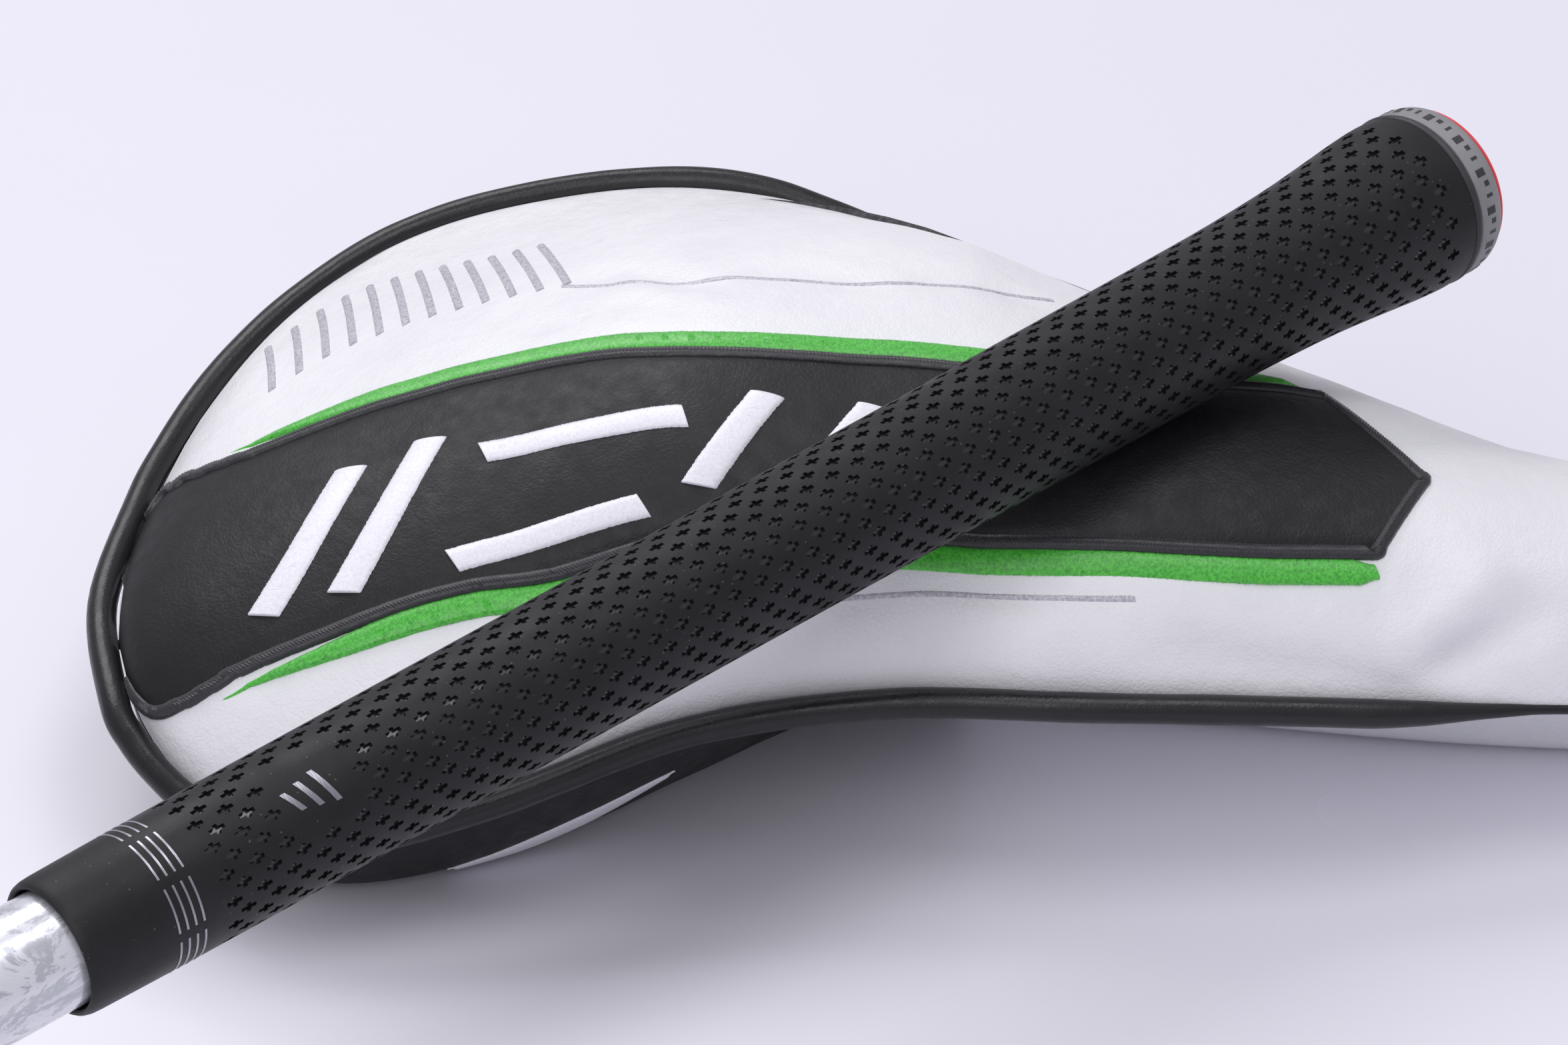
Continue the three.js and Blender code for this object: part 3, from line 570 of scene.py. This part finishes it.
def build_grip_marks():
    rings = []
    for place in RING_PLACES:
        for k in range(RING_DASHES):
            start = k * (RING_DASH + RING_GAP) + RING_GAP / 2
            end = start + RING_DASH
            rings.append(((place - RING_HALF, start), (place - RING_HALF, end),
                          (place + RING_HALF, end), (place + RING_HALF, start)))
    points, faces = axis_patch(rings, 0.05, 0.3, 14)
    add_piece("grip_ring_dashes", points, faces, "silver_paint", "shaft_assembly")
    bars = []
    for k in range(MARK_BARS):
        start = MARK_AT - 3 + MARK_PITCH * k
        end = start + MARK_WIDTH
        half = math.radians(15 - 3 * k)
        bars.append(((start + MARK_SLANT, MARK_ANGLE - half), (start, MARK_ANGLE + half),
                     (end, MARK_ANGLE + half), (end + MARK_SLANT, MARK_ANGLE - half)))
    points, faces = axis_patch(bars, 0.06, 0.4, 8)
    add_piece("grip_mark_bars", points, faces, "silver_paint", "shaft_assembly")


def build_grip_cap():
    collar = [(8.3, GRIP_BORE), (8.3, 13.95), (8.85, 14.08), (9.35, 13.92), (9.55, 13.6), (9.55, GRIP_BORE)]
    turned_piece("grip_collar_ring", rounded(collar, 0.18), "cap_dark")
    band = [(8.1, GRIP_BORE), (8.1, 13.85), (5.4, 13.86), (3.9, 13.6), (2.95, 13.05), (2.95, GRIP_BORE)]
    turned_piece("grip_band", rounded(band, 0.5, 5), "cap_grey",
                 replaces=["grip_cap_band"])
    end = [(2.75, 1.2), (2.75, 12.95), (1.75, 12.3), (0.95, 10.6), (0.35, 7.2), (0.08, 3.4), (0.3, 1.9),
           (1.1, 1.2)]
    turned_piece("grip_end", rounded(end, 1.0, 6), "cap_red", replaces=["grip_end_cap"])
    marks = []
    for k in range(CAP_MARKS):
        wide, high = CAP_MARK_SHAPES[k % len(CAP_MARK_SHAPES)]
        start = CAP_MARK_FROM + CAP_MARK_PITCH * k
        end = start + math.radians(wide)
        marks.append(((high, start), (high, end), (CAP_MARK_FOOT, end), (CAP_MARK_FOOT, start)))
    points, faces = [], []
    for mark in marks:
        base = len(points)
        for s, angle in mark:
            points += [on_axis(s, angle, 13.9), on_axis(s, angle, 13.5)]
        faces += [(base, base + 2, base + 4, base + 6), (base + 1, base + 7, base + 5, base + 3)]
        for i in range(4):
            a, b = base + 2 * i, base + 2 * ((i + 1) % 4)
            faces.append((a, a + 1, b + 1, b))
    add_piece("grip_band_marks", points, faces, "cap_dark", "shaft_assembly")


# ---------------------------------------------------------------- headcover surface

# Stations along the headcover, in millimetres: x, near edge y and z, far edge y and z, crown rise,
# sole drop, and how far the sole tucks in under the near edge.
COVER_STATIONS = [
    (0, -27, 30, -19, 32, 2, 2, 0), (3, -41, 27, -4, 36, 6, 9, 3), (9, -51, 22, 15, 41, 12, 20, 6),
    (20, -60, 18, 34, 47, 18, 32, 10), (36, -64, 18, 50, 52, 23, 43, 14), (58, -60, 22, 58, 56, 27, 50, 20),
    (86, -52, 29, 60, 58, 30, 54, 32), (116, -49, 32, 52, 56, 27.2, 53, 42),
    (146, -50, 32, 37, 51, 24.4, 50, 38), (176, -48, 30, 22, 45, 22.5, 46, 32),
    (206, -45, 27, 11, 38, 21, 42, 26), (235, -41, 24, 8, 32, 19, 38, 20),
    (280, -41, 23, 8, 28, 19, 36, 16), (318, -43, 23, 10, 26, 20, 36, 14),
]
COVER_LENGTH = 318
COVER_NECK_START = 206
COVER_FAR_TUCK = 12
TUCK_GROWTH, DROP_GROWTH = 1.25, 1.12
TUCK_POWER, DROP_POWER = 0.5, 1.15
TUCK_SPAN = (70, 130)
FLOOR_ROUNDING = 2.4
FLOOR_SHARE = 0.98
COVER_SKIN = 1.5
# The sole is black from the toe end to here, and white from here to the neck.
GUSSET_END = 128
STATION_TABLES = [[(row[0], row[k]) for row in COVER_STATIONS] for k in range(1, 8)]
STATION_CACHE = {}

# Soft folds and creases: from (x, w) to (x, w), height and half-width. w runs 0 to 1 from the near edge.
FOLDS = [
    (206, 0.30, 190, 0.05, 1.8, 4.5), (214, 0.24, 198, 0.04, -2.4, 4.5), (222, 0.16, 262, 0.42, 2.0, 5),
    (238, 0.08, 282, 0.30, -2.2, 5), (246, 0.55, 292, 0.72, 1.6, 6), (272, 0.40, 316, 0.50, -1.3, 7),
    (288, 0.12, 318, 0.24, 1.2, 5), (200, 0.62, 240, 0.78, -1.2, 7),
    (71, 0.515, 88, 0.470, -0.40, 1.3), (77, 0.555, 96, 0.495, -0.35, 1.2), (74, 0.56, 84, 0.50, 0.3, 1.5),
    (60, 0.52, 72, 0.50, -0.3, 1.3), (90, 0.14, 128, 0.10, -0.5, 3), (140, 0.16, 186, 0.12, 0.5, 5),
    (228, 0.34, 262, 0.16, -1.1, 4), (150, 0.08, 196, 0.05, -0.6, 4), (30, 0.70, 60, 0.62, 0.3, 5),
    (160, 0.70, 198, 0.78, 0.5, 7),
]
# The grooves that the stitched lines on the white leather lie in, in the same form.
STITCH_GROOVES = [
    (66, 0.583, 91, 0.526, -0.8, 2.4), (91, 0.526, 118, 0.547, -0.8, 2.4),
    (118, 0.547, 142, 0.624, -0.8, 2.4), (108, 0.128, 152, 0.158, -0.7, 2.2),
]
FOLD_SCALE = 95


def station(along):
    key = round(along, 3)
    if key not in STATION_CACHE:
        STATION_CACHE[key] = [between(table, along) for table in STATION_TABLES]
    return STATION_CACHE[key]


def crown_share(along, share):
    blend = min(max((along - 90) / 40, 0), 1)
    near, far = 0.5, 1.1 - 0.3 * blend
    top = near / (near + far)
    return (share**near * (1 - share) ** far) / (top**near * (1 - top) ** far)


def above_floor(z):
    """A height kept above the floor with a rounded turn, where it would otherwise pass through."""
    return 0.5 * (z + math.hypot(z, FLOOR_ROUNDING)) * FLOOR_SHARE


def cover_base(along, w, lower):
    """The plain surface of the cover in its own frame: the crown half, or the sole half."""
    near_y, near_z, far_y, far_z, rise, drop, tuck = station(along)
    share = 0.5 - 0.5 * math.cos(math.pi * w)
    y = near_y + (far_y - near_y) * share
    z = near_z + (far_z - near_z) * share
    if not lower:
        return Vector((along, y, z + rise * crown_share(along, share)))
    bulge = math.sin(math.pi * w) ** 0.85 if 0 < w < 1 else 0
    y += bulge * (tuck * (1 - share) - COVER_FAR_TUCK * share)
    z -= bulge * drop
    return Vector((along, y, above_floor(z)))


def crown_place(along, w):
    return cover_base(along, w, False)


def softness(along, w):
    """How far the padded skin swells or creases, in millimetres."""
    edge = smooth_step(w, 0, 0.07) * smooth_step(1 - w, 0, 0.07) * smooth_step(along, 2, 14)
    swell = 0.55 * noise.noise(Vector((along / 26, w * 3.4, 0.7)))
    swell += 0.22 * noise.noise(Vector((along / 9, w * 9.5, 3.1)))
    swell += 0.5 * smooth_step(along, 190, 230) * noise.noise(Vector((along / 17, w * 6, 5.2)))
    for x0, w0, x1, w1, height, width in FOLDS + STITCH_GROOVES:
        dx, dy = x1 - x0, (w1 - w0) * FOLD_SCALE
        px, py = along - x0, (w - w0) * FOLD_SCALE
        length_squared = dx * dx + dy * dy
        t = (px * dx + py * dy) / length_squared
        if not -0.1 < t < 1.1:
            continue
        away = (px * dy - py * dx) / math.sqrt(length_squared)
        away += 0.3 * width * math.sin(t * 5)
        fade = smooth_step(t, -0.1, 0.3) * smooth_step(1.1 - t, 0, 0.4)
        swell += height * fade * math.exp(-((away / width) ** 2))
    return swell * edge


def cover_frame(along, w, lower=False):
    """Point and outward normal on the plain surface, in the cover's frame."""
    surface = tucked if lower else crown_place
    here = surface(along, w)
    step = 0.006
    ahead = surface(min(along + 0.4, COVER_LENGTH), w)
    behind = surface(max(along - 0.4, 0), w)
    right = surface(along, min(w + step, 1))
    left = surface(along, max(w - step, 0))
    normal = (ahead - behind).cross(right - left)
    if lower:
        normal.negate()
    return here, normal.normalized()


def cover_place(along, w, lift=0.0, lower=False):
    """A point over the soft surface, in the cover's frame."""
    here, normal = cover_frame(along, w, lower)
    soft = 0 if lower else softness(along, w)
    return here + normal * (soft + lift)


def to_world(point):
    return COVER_ORIGIN + (COVER_ALONG * point.x + COVER_ACROSS * point.y + Vector((0, 0, point.z))) * MM


def steps_between(start, end, size):
    count = max(2, round((end - start) / size))
    return [start + (end - start) * i / count for i in range(count + 1)]


def thicken(points, faces, rows, columns, inward):
    """Turns a sheet, given as a grid, into a closed skin with a second layer at these inner points."""
    count = len(points)
    solid = points + inward
    walls = [tuple(count + k for k in reversed(face)) for face in faces]
    rim = [i * columns for i in range(rows)]
    loops = [
        list(range(columns)),
        [i * columns + columns - 1 for i in range(rows)],
        [(rows - 1) * columns + j for j in range(columns - 1, -1, -1)],
        rim[::-1],
    ]
    for loop in loops:
        for a, b in zip(loop, loop[1:]):
            walls.append((a, a + count, b + count, b))
    return solid, faces + walls


def tucked(along, w):
    """The sole's looks: it turns in under the near edge sooner than a plain bowl would."""
    plain = cover_base(along, w, True)
    near_y, near_z, far_y, far_z, rise, drop, tuck = station(along)
    share = 0.5 - 0.5 * math.cos(math.pi * w)
    sine = math.sin(math.pi * w) if 0 < w < 1 else 0
    tucks = TUCK_GROWTH * tuck * (1 - share) - COVER_FAR_TUCK * share
    y = near_y + (far_y - near_y) * share + sine**TUCK_POWER * tucks
    z = near_z + (far_z - near_z) * share - sine**DROP_POWER * drop * DROP_GROWTH
    under = Vector((along, y, above_floor(z)))
    return plain.lerp(under, smooth_step(along, *TUCK_SPAN))


def cover_sheet(name, alongs, ws, lower, material, replaces, skin=COVER_SKIN):
    outer, inner = [], []
    for along in alongs:
        for w in ws:
            here, normal = cover_frame(along, w, lower)
            soft = 0 if lower else softness(along, w)
            outer.append(to_world(here + normal * soft))
            inner.append(to_world(here + normal * (soft - skin)))
    faces = [face[::-1] for face in grid_faces(len(alongs), len(ws))]
    if lower:
        faces = [face[::-1] for face in faces]
    points, faces = thicken(outer, faces, len(alongs), len(ws), inner)
    piece = add_piece(name, points, faces, material, "headcover", replaces, math.radians(60))
    return piece


def build_cover_skins():
    toe = [0.15, 0.8, 1.6, 2.6, 3.8, 5.2, 7, 9]
    body = toe + steps_between(10.5, COVER_LENGTH, 1.5)
    ws = [k / 84 for k in range(85)]
    cover_sheet("headcover_shell", body, ws, False, "white_leather",
                ["cover_crown_panel", "cover_neck"])
    under = [k / 48 for k in range(49)]
    sole = cover_sheet("headcover_sole", toe + steps_between(11, COVER_NECK_START, 2.4), under, True,
                       "black_leather", ["cover_sole_panel"])
    sole.data.materials.append(MATERIALS["white_leather"])
    for face in sole.data.polygons:
        middle = face.center - COVER_ORIGIN
        if middle.dot(COVER_ALONG) > GUSSET_END * MM:
            face.material_index = 1
    cover_sheet("headcover_neck_under", steps_between(COVER_NECK_START, COVER_LENGTH, 2.4), under, True,
                "white_leather", [])


# ---------------------------------------------------------------- headcover trim

BAND_TOP = [
    (1.2, 0.97), (4, 0.80), (7, 0.665), (12, 0.585), (20, 0.532), (42, 0.487), (66, 0.449), (88, 0.402),
    (112, 0.404), (140, 0.44), (166, 0.519), (182, 0.577),
]
BAND_BOTTOM = [
    (1.2, 0.03), (6, 0.085), (12, 0.165), (20, 0.225), (38, 0.25), (54, 0.24), (70, 0.212), (100, 0.2),
    (124, 0.205), (146, 0.225), (170, 0.24), (188, 0.262),
]
BAND_TIP = (196, 0.41)
BORDER_WIDTH = 2.3
GREEN_WIDTH = 4.0


def resample(path, step):
    """Places along a line of (x, w) points, about a step apart over the surface."""
    made = []
    for (x0, w0), (x1, w1) in zip(path, path[1:]):
        length = (crown_place(x1, w1) - crown_place(x0, w0)).length
        count = max(1, round(length / step))
        made += [(x0 + (x1 - x0) * i / count, w0 + (w1 - w0) * i / count) for i in range(count)]
    return made + [path[-1]]


def smooth_path(table, start, end, size=4):
    return [(x, between(table, x)) for x in steps_between(start, end, size)]


def satin(
    name, path, width, height, material, shift=0.0, lift=0.0, thread=0.42, slant=0.35, lower=False
):
    """A raised band of satin stitches along a path. width is a number, or a function of 0 to 1."""
    around = 9
    stops = resample(path, thread / 2)
    centres = [cover_place(x, w, lift, lower) for x, w in stops]
    normals = [cover_frame(x, w, lower)[1] for x, w in stops]
    points = []
    last = len(stops) - 1
    for i, (centre, normal) in enumerate(zip(centres, normals)):
        ahead = centres[min(i + 3, last)] - centres[max(i - 3, 0)]
        tangent = (ahead - normal * ahead.dot(normal)).normalized()
        side = tangent.cross(normal)
        share = i / last
        full = width(share) if callable(width) else width
        ragged = 1 + 0.05 * noise.noise(Vector((i * 0.83, full, 1.7)))
        thread_top = 1.0 if i % 2 else 0.86
        for k in range(around):
            turn = math.pi * k / (around - 1)
            across = math.cos(turn) * full / 2 * ragged
            rise = height * math.sin(turn) ** 0.6 * thread_top * min(1, full / 1.5)
            offset = centre + side * (shift + across) + tangent * (slant * across) + normal * (rise - 0.25)
            points.append(to_world(offset))
    faces = grid_faces(len(stops), around, closed_columns=True)
    faces.append(tuple(range(around))[::-1])
    faces.append(tuple(last * around + k for k in range(around)))
    add_piece(name, points, faces, material, "headcover", (), math.radians(70))


def build_band():
    """The black panel sewn along the crown, its rope border and its green edges."""
    tip_x, tip_w = BAND_TIP
    top_end, bottom_end = BAND_TOP[-1], BAND_BOTTOM[-1]
    stops = steps_between(BAND_TOP[0][0], top_end[0], 1.6)
    stops += steps_between(top_end[0], bottom_end[0], 1.5)[1:]
    stops += steps_between(bottom_end[0], tip_x - 0.2, 1.5)[1:]
    outer, inner = [], []
    columns = 41
    for x in stops:
        if x <= top_end[0]:
            high = between(BAND_TOP, x)
        else:
            high = top_end[1] + (tip_w - top_end[1]) * (x - top_end[0]) / (tip_x - top_end[0])
        if x <= bottom_end[0]:
            low = between(BAND_BOTTOM, x)
        else:
            low = bottom_end[1] + (tip_w - bottom_end[1]) * (x - bottom_end[0]) / (tip_x - bottom_end[0])
        for k in range(columns):
            t = k / (columns - 1)
            w = low + (high - low) * t
            edge = smooth_step(min(t, 1 - t), 0, 0.08)
            outer.append(to_world(cover_place(x, w, 0.15 + 0.5 * edge)))
            inner.append(to_world(cover_place(x, w, -0.35)))
    faces = [face[::-1] for face in grid_faces(len(stops), columns)]
    points, faces = thicken(outer, faces, len(stops), columns, inner)
    piece = add_piece("headcover_band", points, faces, "black_leather", "headcover",
                      (), math.radians(60))

    top = smooth_path(BAND_TOP, 3, top_end[0])
    bottom = smooth_path(BAND_BOTTOM, 3, bottom_end[0])
    outline = top + [BAND_TIP] + bottom[::-1]
    satin("band_border", outline, BORDER_WIDTH, 1.15, "black_thread", lift=0.1,
          thread=0.55, slant=0.9)
    reach = (BORDER_WIDTH + GREEN_WIDTH) / 2 - 0.25

    def upper_width(share):
        return GREEN_WIDTH * smooth_step(share, 0, 0.2) * smooth_step(1 - share, 0, 0.07) + 0.1

    def lower_width(share):
        blunt_end = 0.55 + 0.45 * smooth_step(1 - share, 0, 0.02)
        return GREEN_WIDTH * smooth_step(share, 0, 0.2) * blunt_end + 0.1

    satin("green_edge_top", smooth_path(BAND_TOP, 11, top_end[0] - 0.5), upper_width, 0.95, "green_thread",
          shift=-reach)
    satin("green_edge_bottom", smooth_path(BAND_BOTTOM, 13, bottom_end[0]), lower_width, 0.95,
          "green_thread", shift=reach)


# Plain bars on the black band: from (x, w) to (x, w), and width.
BAND_BARS = [
    (24, 0.285, 36, 0.42, 5.2), (36, 0.283, 48, 0.41, 5.2), (52, 0.27, 80, 0.245, 4.2),
    (56, 0.37, 86, 0.325, 4.2), (88, 0.25, 98, 0.345, 5.2), (104, 0.245, 114, 0.345, 5.2),
    (128, 0.25, 138, 0.36, 4.6),
]
HASH_BARS = 12
STITCHED_TOP = [
    (66, 0.583), (74, 0.553), (82, 0.534), (91, 0.526), (100, 0.525), (109, 0.532), (118, 0.547),
    (130, 0.582), (142, 0.624),
]
STITCHED_LOW = [(108, 0.128), (120, 0.137), (132, 0.144), (142, 0.152), (152, 0.158)]


def build_embroidery():
    """Plain generic bars on the black band, and the fine stitched lines on the white leather."""
    for number, (x0, w0, x1, w1, width) in enumerate(BAND_BARS, 1):
        path = [(x0 + (x1 - x0) * t / 6, w0 + (w1 - w0) * t / 6) for t in range(7)]
        satin(f"band_bar_{number}", path, width, 1.0, "white_thread", lift=0.55)
    for k in range(HASH_BARS):
        t = k / (HASH_BARS - 1)
        head = (19 + 43 * t, 0.86 - 0.155 * smooth_step(t, -0.3, 1.0))
        foot = (21 + 46 * t, 0.68 - 0.097 * smooth_step(t, -0.5, 1.1))
        satin(f"hash_bar_{k + 1}", [head, foot], 1.5, 0.6, "silver_thread")
    satin("stitched_line_top", STITCHED_TOP, 1.2, 0.6, "silver_thread")
    satin("stitched_line_low", STITCHED_LOW, 1.1, 0.55, "silver_thread")


PATCH_FROM, PATCH_TO = (50, 0.125), (84, 0.095)
PATCH_WIDTH, PATCH_STEPS = 6.5, 8


def build_gusset_patch():
    """A plain pale stitched patch low on the black toe gusset."""

    def leaf(share):
        return PATCH_WIDTH * math.sin(math.pi * min(max(share, 0.02), 0.98)) ** 0.7

    (x0, w0), (x1, w1) = PATCH_FROM, PATCH_TO
    shares = [k / PATCH_STEPS for k in range(PATCH_STEPS + 1)]
    path = [(x0 + (x1 - x0) * t, w0 + (w1 - w0) * t) for t in shares]
    satin("gusset_patch", path, leaf, 0.7, "white_thread", lower=True)


SCORE_LINES = range(-3, 4)
SCORE_PITCH = 2.9 * MM
SCORE_HALF_LENGTH, SCORE_SHORTER = 15 * MM, 1.1 * MM
SCORE_HALF_WIDTH = 0.22 * MM
SCORE_SUNK, SCORE_PROUD = 0.15 * MM, 0.03 * MM
BOX_FACES = [(3, 2, 1, 0), (4, 5, 6, 7), (0, 1, 5, 4), (1, 2, 6, 5), (2, 3, 7, 6), (3, 0, 4, 7)]


def build_score_lines():
    """Fine dark lines across the striking face, the middle one the longest."""
    centre = Vector(MOUNTS["striking_face"]["pos_m"])
    normal = Vector(MOUNTS["striking_face"]["axis"]).normalized()
    across = HEAD_UP.cross(normal).normalized()
    up = normal.cross(across)
    points, faces = [], []
    for k in SCORE_LINES:
        half = SCORE_HALF_LENGTH - SCORE_SHORTER * abs(k)
        middle = centre + up * (k * SCORE_PITCH)
        base = len(points)
        for depth in (-SCORE_SUNK, SCORE_PROUD):
            for side, turn in ((-half, -1), (half, -1), (half, 1), (-half, 1)):
                rise = turn * SCORE_HALF_WIDTH
                points.append(middle + across * side + up * rise + normal * depth)
        faces += [tuple(base + corner for corner in face) for face in BOX_FACES]
    add_piece("face_score_lines", points, faces, "black_plastic", "head", (), None)


PIPING_RADIUS = 2.3
SEAM_RADIUS = 0.7
FAR_SINK = 3.0


def piping_path():
    """Round the closed toe end and along both edges to the mouth, as (place, radius) pairs."""
    near, far = [], []
    for along in [3, 6, 10, 15, 21, 28, *range(36, COVER_LENGTH, 8), COVER_LENGTH - 1]:
        near_y, near_z, far_y, far_z = station(along)[:4]
        thin = smooth_step(along, 186, 216)
        radius = PIPING_RADIUS + (SEAM_RADIUS - PIPING_RADIUS) * thin
        offset = (PIPING_RADIUS + 0.1) * (1 - thin) + 0.2 * thin
        back = offset * max(0, 1 - along / 30)
        near.append((Vector((along - back, near_y - offset, near_z)), radius))
        sink = FAR_SINK * smooth_step(along, 92, 124) * (1 - smooth_step(along, 180, 214))
        far.append((Vector((along - back, far_y + offset - 0.5 * sink, far_z - sink)), radius))
    toe = (Vector((-PIPING_RADIUS - 0.6, -23, 31)), PIPING_RADIUS)
    return near[::-1] + [toe] + far


def catmull(points, per_span):
    made = []
    last = len(points) - 1
    for i in range(last):
        p0, p1, p2, p3 = (points[min(max(k, 0), last)] for k in (i - 1, i, i + 1, i + 2))
        for k in range(per_span):
            t = k / per_span
            square = 2 * p0[0] - 5 * p1[0] + 4 * p2[0] - p3[0]
            cube = 3 * p1[0] - p0[0] - 3 * p2[0] + p3[0]
            place = 0.5 * (2 * p1[0] + (p2[0] - p0[0]) * t + square * t**2 + cube * t**3)
            made.append((place, p1[1] + (p2[1] - p1[1]) * t))
    return made + [points[last]]


def tube(name, line, material, replaces=(), around=20, wobble=0.0):
    points = []
    last = len(line) - 1
    side = Vector((0, 0, 1))
    for i, (place, radius) in enumerate(line):
        tangent = (line[min(i + 1, last)][0] - line[max(i - 1, 0)][0]).normalized()
        side = (side - tangent * side.dot(tangent)).normalized()
        other = tangent.cross(side)
        full = radius * (1 + wobble * noise.noise(Vector((i * 0.11, radius, 0.3))))
        for k in range(around):
            turn = k / around * TAU
            spoke = side * math.cos(turn) + other * math.sin(turn)
            points.append(to_world(place + spoke * full))
    faces = [face[::-1] for face in grid_faces(len(line), around, closed_columns=True)]
    faces.append(tuple(range(around)))
    faces.append(tuple(last * around + k for k in range(around))[::-1])
    add_piece(name, points, faces, material, "headcover", replaces, math.radians(60))


def build_piping():
    tube("headcover_piping", catmull(piping_path(), 8), "piping",
         replaces=["cover_piping"], wobble=0.05)
    ring = []
    for lower, ws in ((False, [k / 30 for k in range(31)]), (True, [k / 30 for k in range(29, 0, -1)])):
        ring += [(cover_place(COVER_LENGTH - 0.6, w, -0.75, lower), 1.15) for w in ws]
    ring.append(ring[0])
    tube("headcover_mouth_hem", catmull(ring, 3), "white_leather", around=14,
         wobble=0.1)


def build_lining():
    """Fleece tube inside the cover, open at the mouth."""
    alongs = [5, 7, 10, 14, 20, *steps_between(28, COVER_LENGTH - 3, 6)]
    half = 28
    depth = 2.6
    outer, inner = [], []
    for along in alongs:
        for lower, ws in ((False, range(half)), (True, range(half, 0, -1))):
            for k in ws:
                fuzz = 0.25 * noise.noise(Vector((along * 0.9, k * 1.7, 2.0)))
                here, normal = cover_frame(along, k / half, lower)
                soft = min(0, softness(along, k / half)) if not lower else 0
                outer.append(to_world(here + normal * (soft - depth)))
                inner.append(to_world(here + normal * (soft - depth - 1.5 - fuzz)))
    rows, columns = len(alongs), 2 * half
    sheet = [face[::-1] for face in grid_faces(rows, columns, closed_columns=True)]
    count = len(outer)
    faces = sheet + [tuple(count + k for k in reversed(face)) for face in sheet]
    top = (rows - 1) * columns
    for j in range(columns):
        m = (j + 1) % columns
        faces.append((top + j, top + m, count + top + m, count + top + j))
    faces.append(tuple(range(columns)))
    faces.append(tuple(count + j for j in range(columns))[::-1])
    add_piece("headcover_lining", outer + inner, faces, "fleece", "headcover",
              ["cover_lining"], math.radians(60))


# ---------------------------------------------------------------- carried-over nodes and the stage

WELD_DISTANCE = 0.01 * MM
NODE_EDGE_ANGLE = math.radians(30)
NODE_MATERIALS = {
    "head_body": "head_steel", "face_plate": "face_steel", "crown_plate": "carbon",
    "inner_weight": "weight_metal", "rear_weight": "weight_metal", "rear_weight_seal": "black_plastic",
    "adapter_sleeve": "aluminium", "adapter_cog": "black_alloy", "ferrule": "black_plastic",
    "shaft": "shaft", "shaft_tip_plug": "tape", "grip_tape": "tape", "hosel_screw": "weight_metal",
    "hosel_screw_washer": "black_plastic",
}


def paint_nodes():
    for name, material in NODE_MATERIALS.items():
        mesh = frame["nodes"][name].data
        mesh.materials.clear()
        mesh.materials.append(MATERIALS[material])
        mesh.polygons.foreach_set("use_smooth", [True] * len(mesh.polygons))
        weld = frame["nodes"][name].modifiers.new("weld", "WELD")
        weld.merge_threshold = WELD_DISTANCE
        split = frame["nodes"][name].modifiers.new("split", "EDGE_SPLIT")
        split.split_angle = NODE_EDGE_ANGLE


def build_floor():
    size = 6
    mesh = bpy.data.meshes.new("studio_floor")
    corners = [(-size, -size, 0), (size, -size, 0), (size, size, 0), (-size, size, 0)]
    mesh.from_pydata(corners, [], [(0, 1, 2, 3)])
    mesh.materials.append(floor_paint())
    floor = bpy.data.objects.new("studio_floor", mesh)
    bpy.context.scene.collection.objects.link(floor)
    floor.rotation_euler = (0, 0, math.atan2(COVER_ALONG.y, COVER_ALONG.x))
    floor.location = (0, 0, -0.0002)


build_camera()
build_lights()
build_floor()
build_grip()
build_grip_marks()
build_grip_cap()
build_cover_skins()
build_band()
build_embroidery()
build_gusset_patch()
build_score_lines()
build_piping()
build_lining()
paint_nodes()

bpy.context.scene.view_settings.view_transform = "Standard"
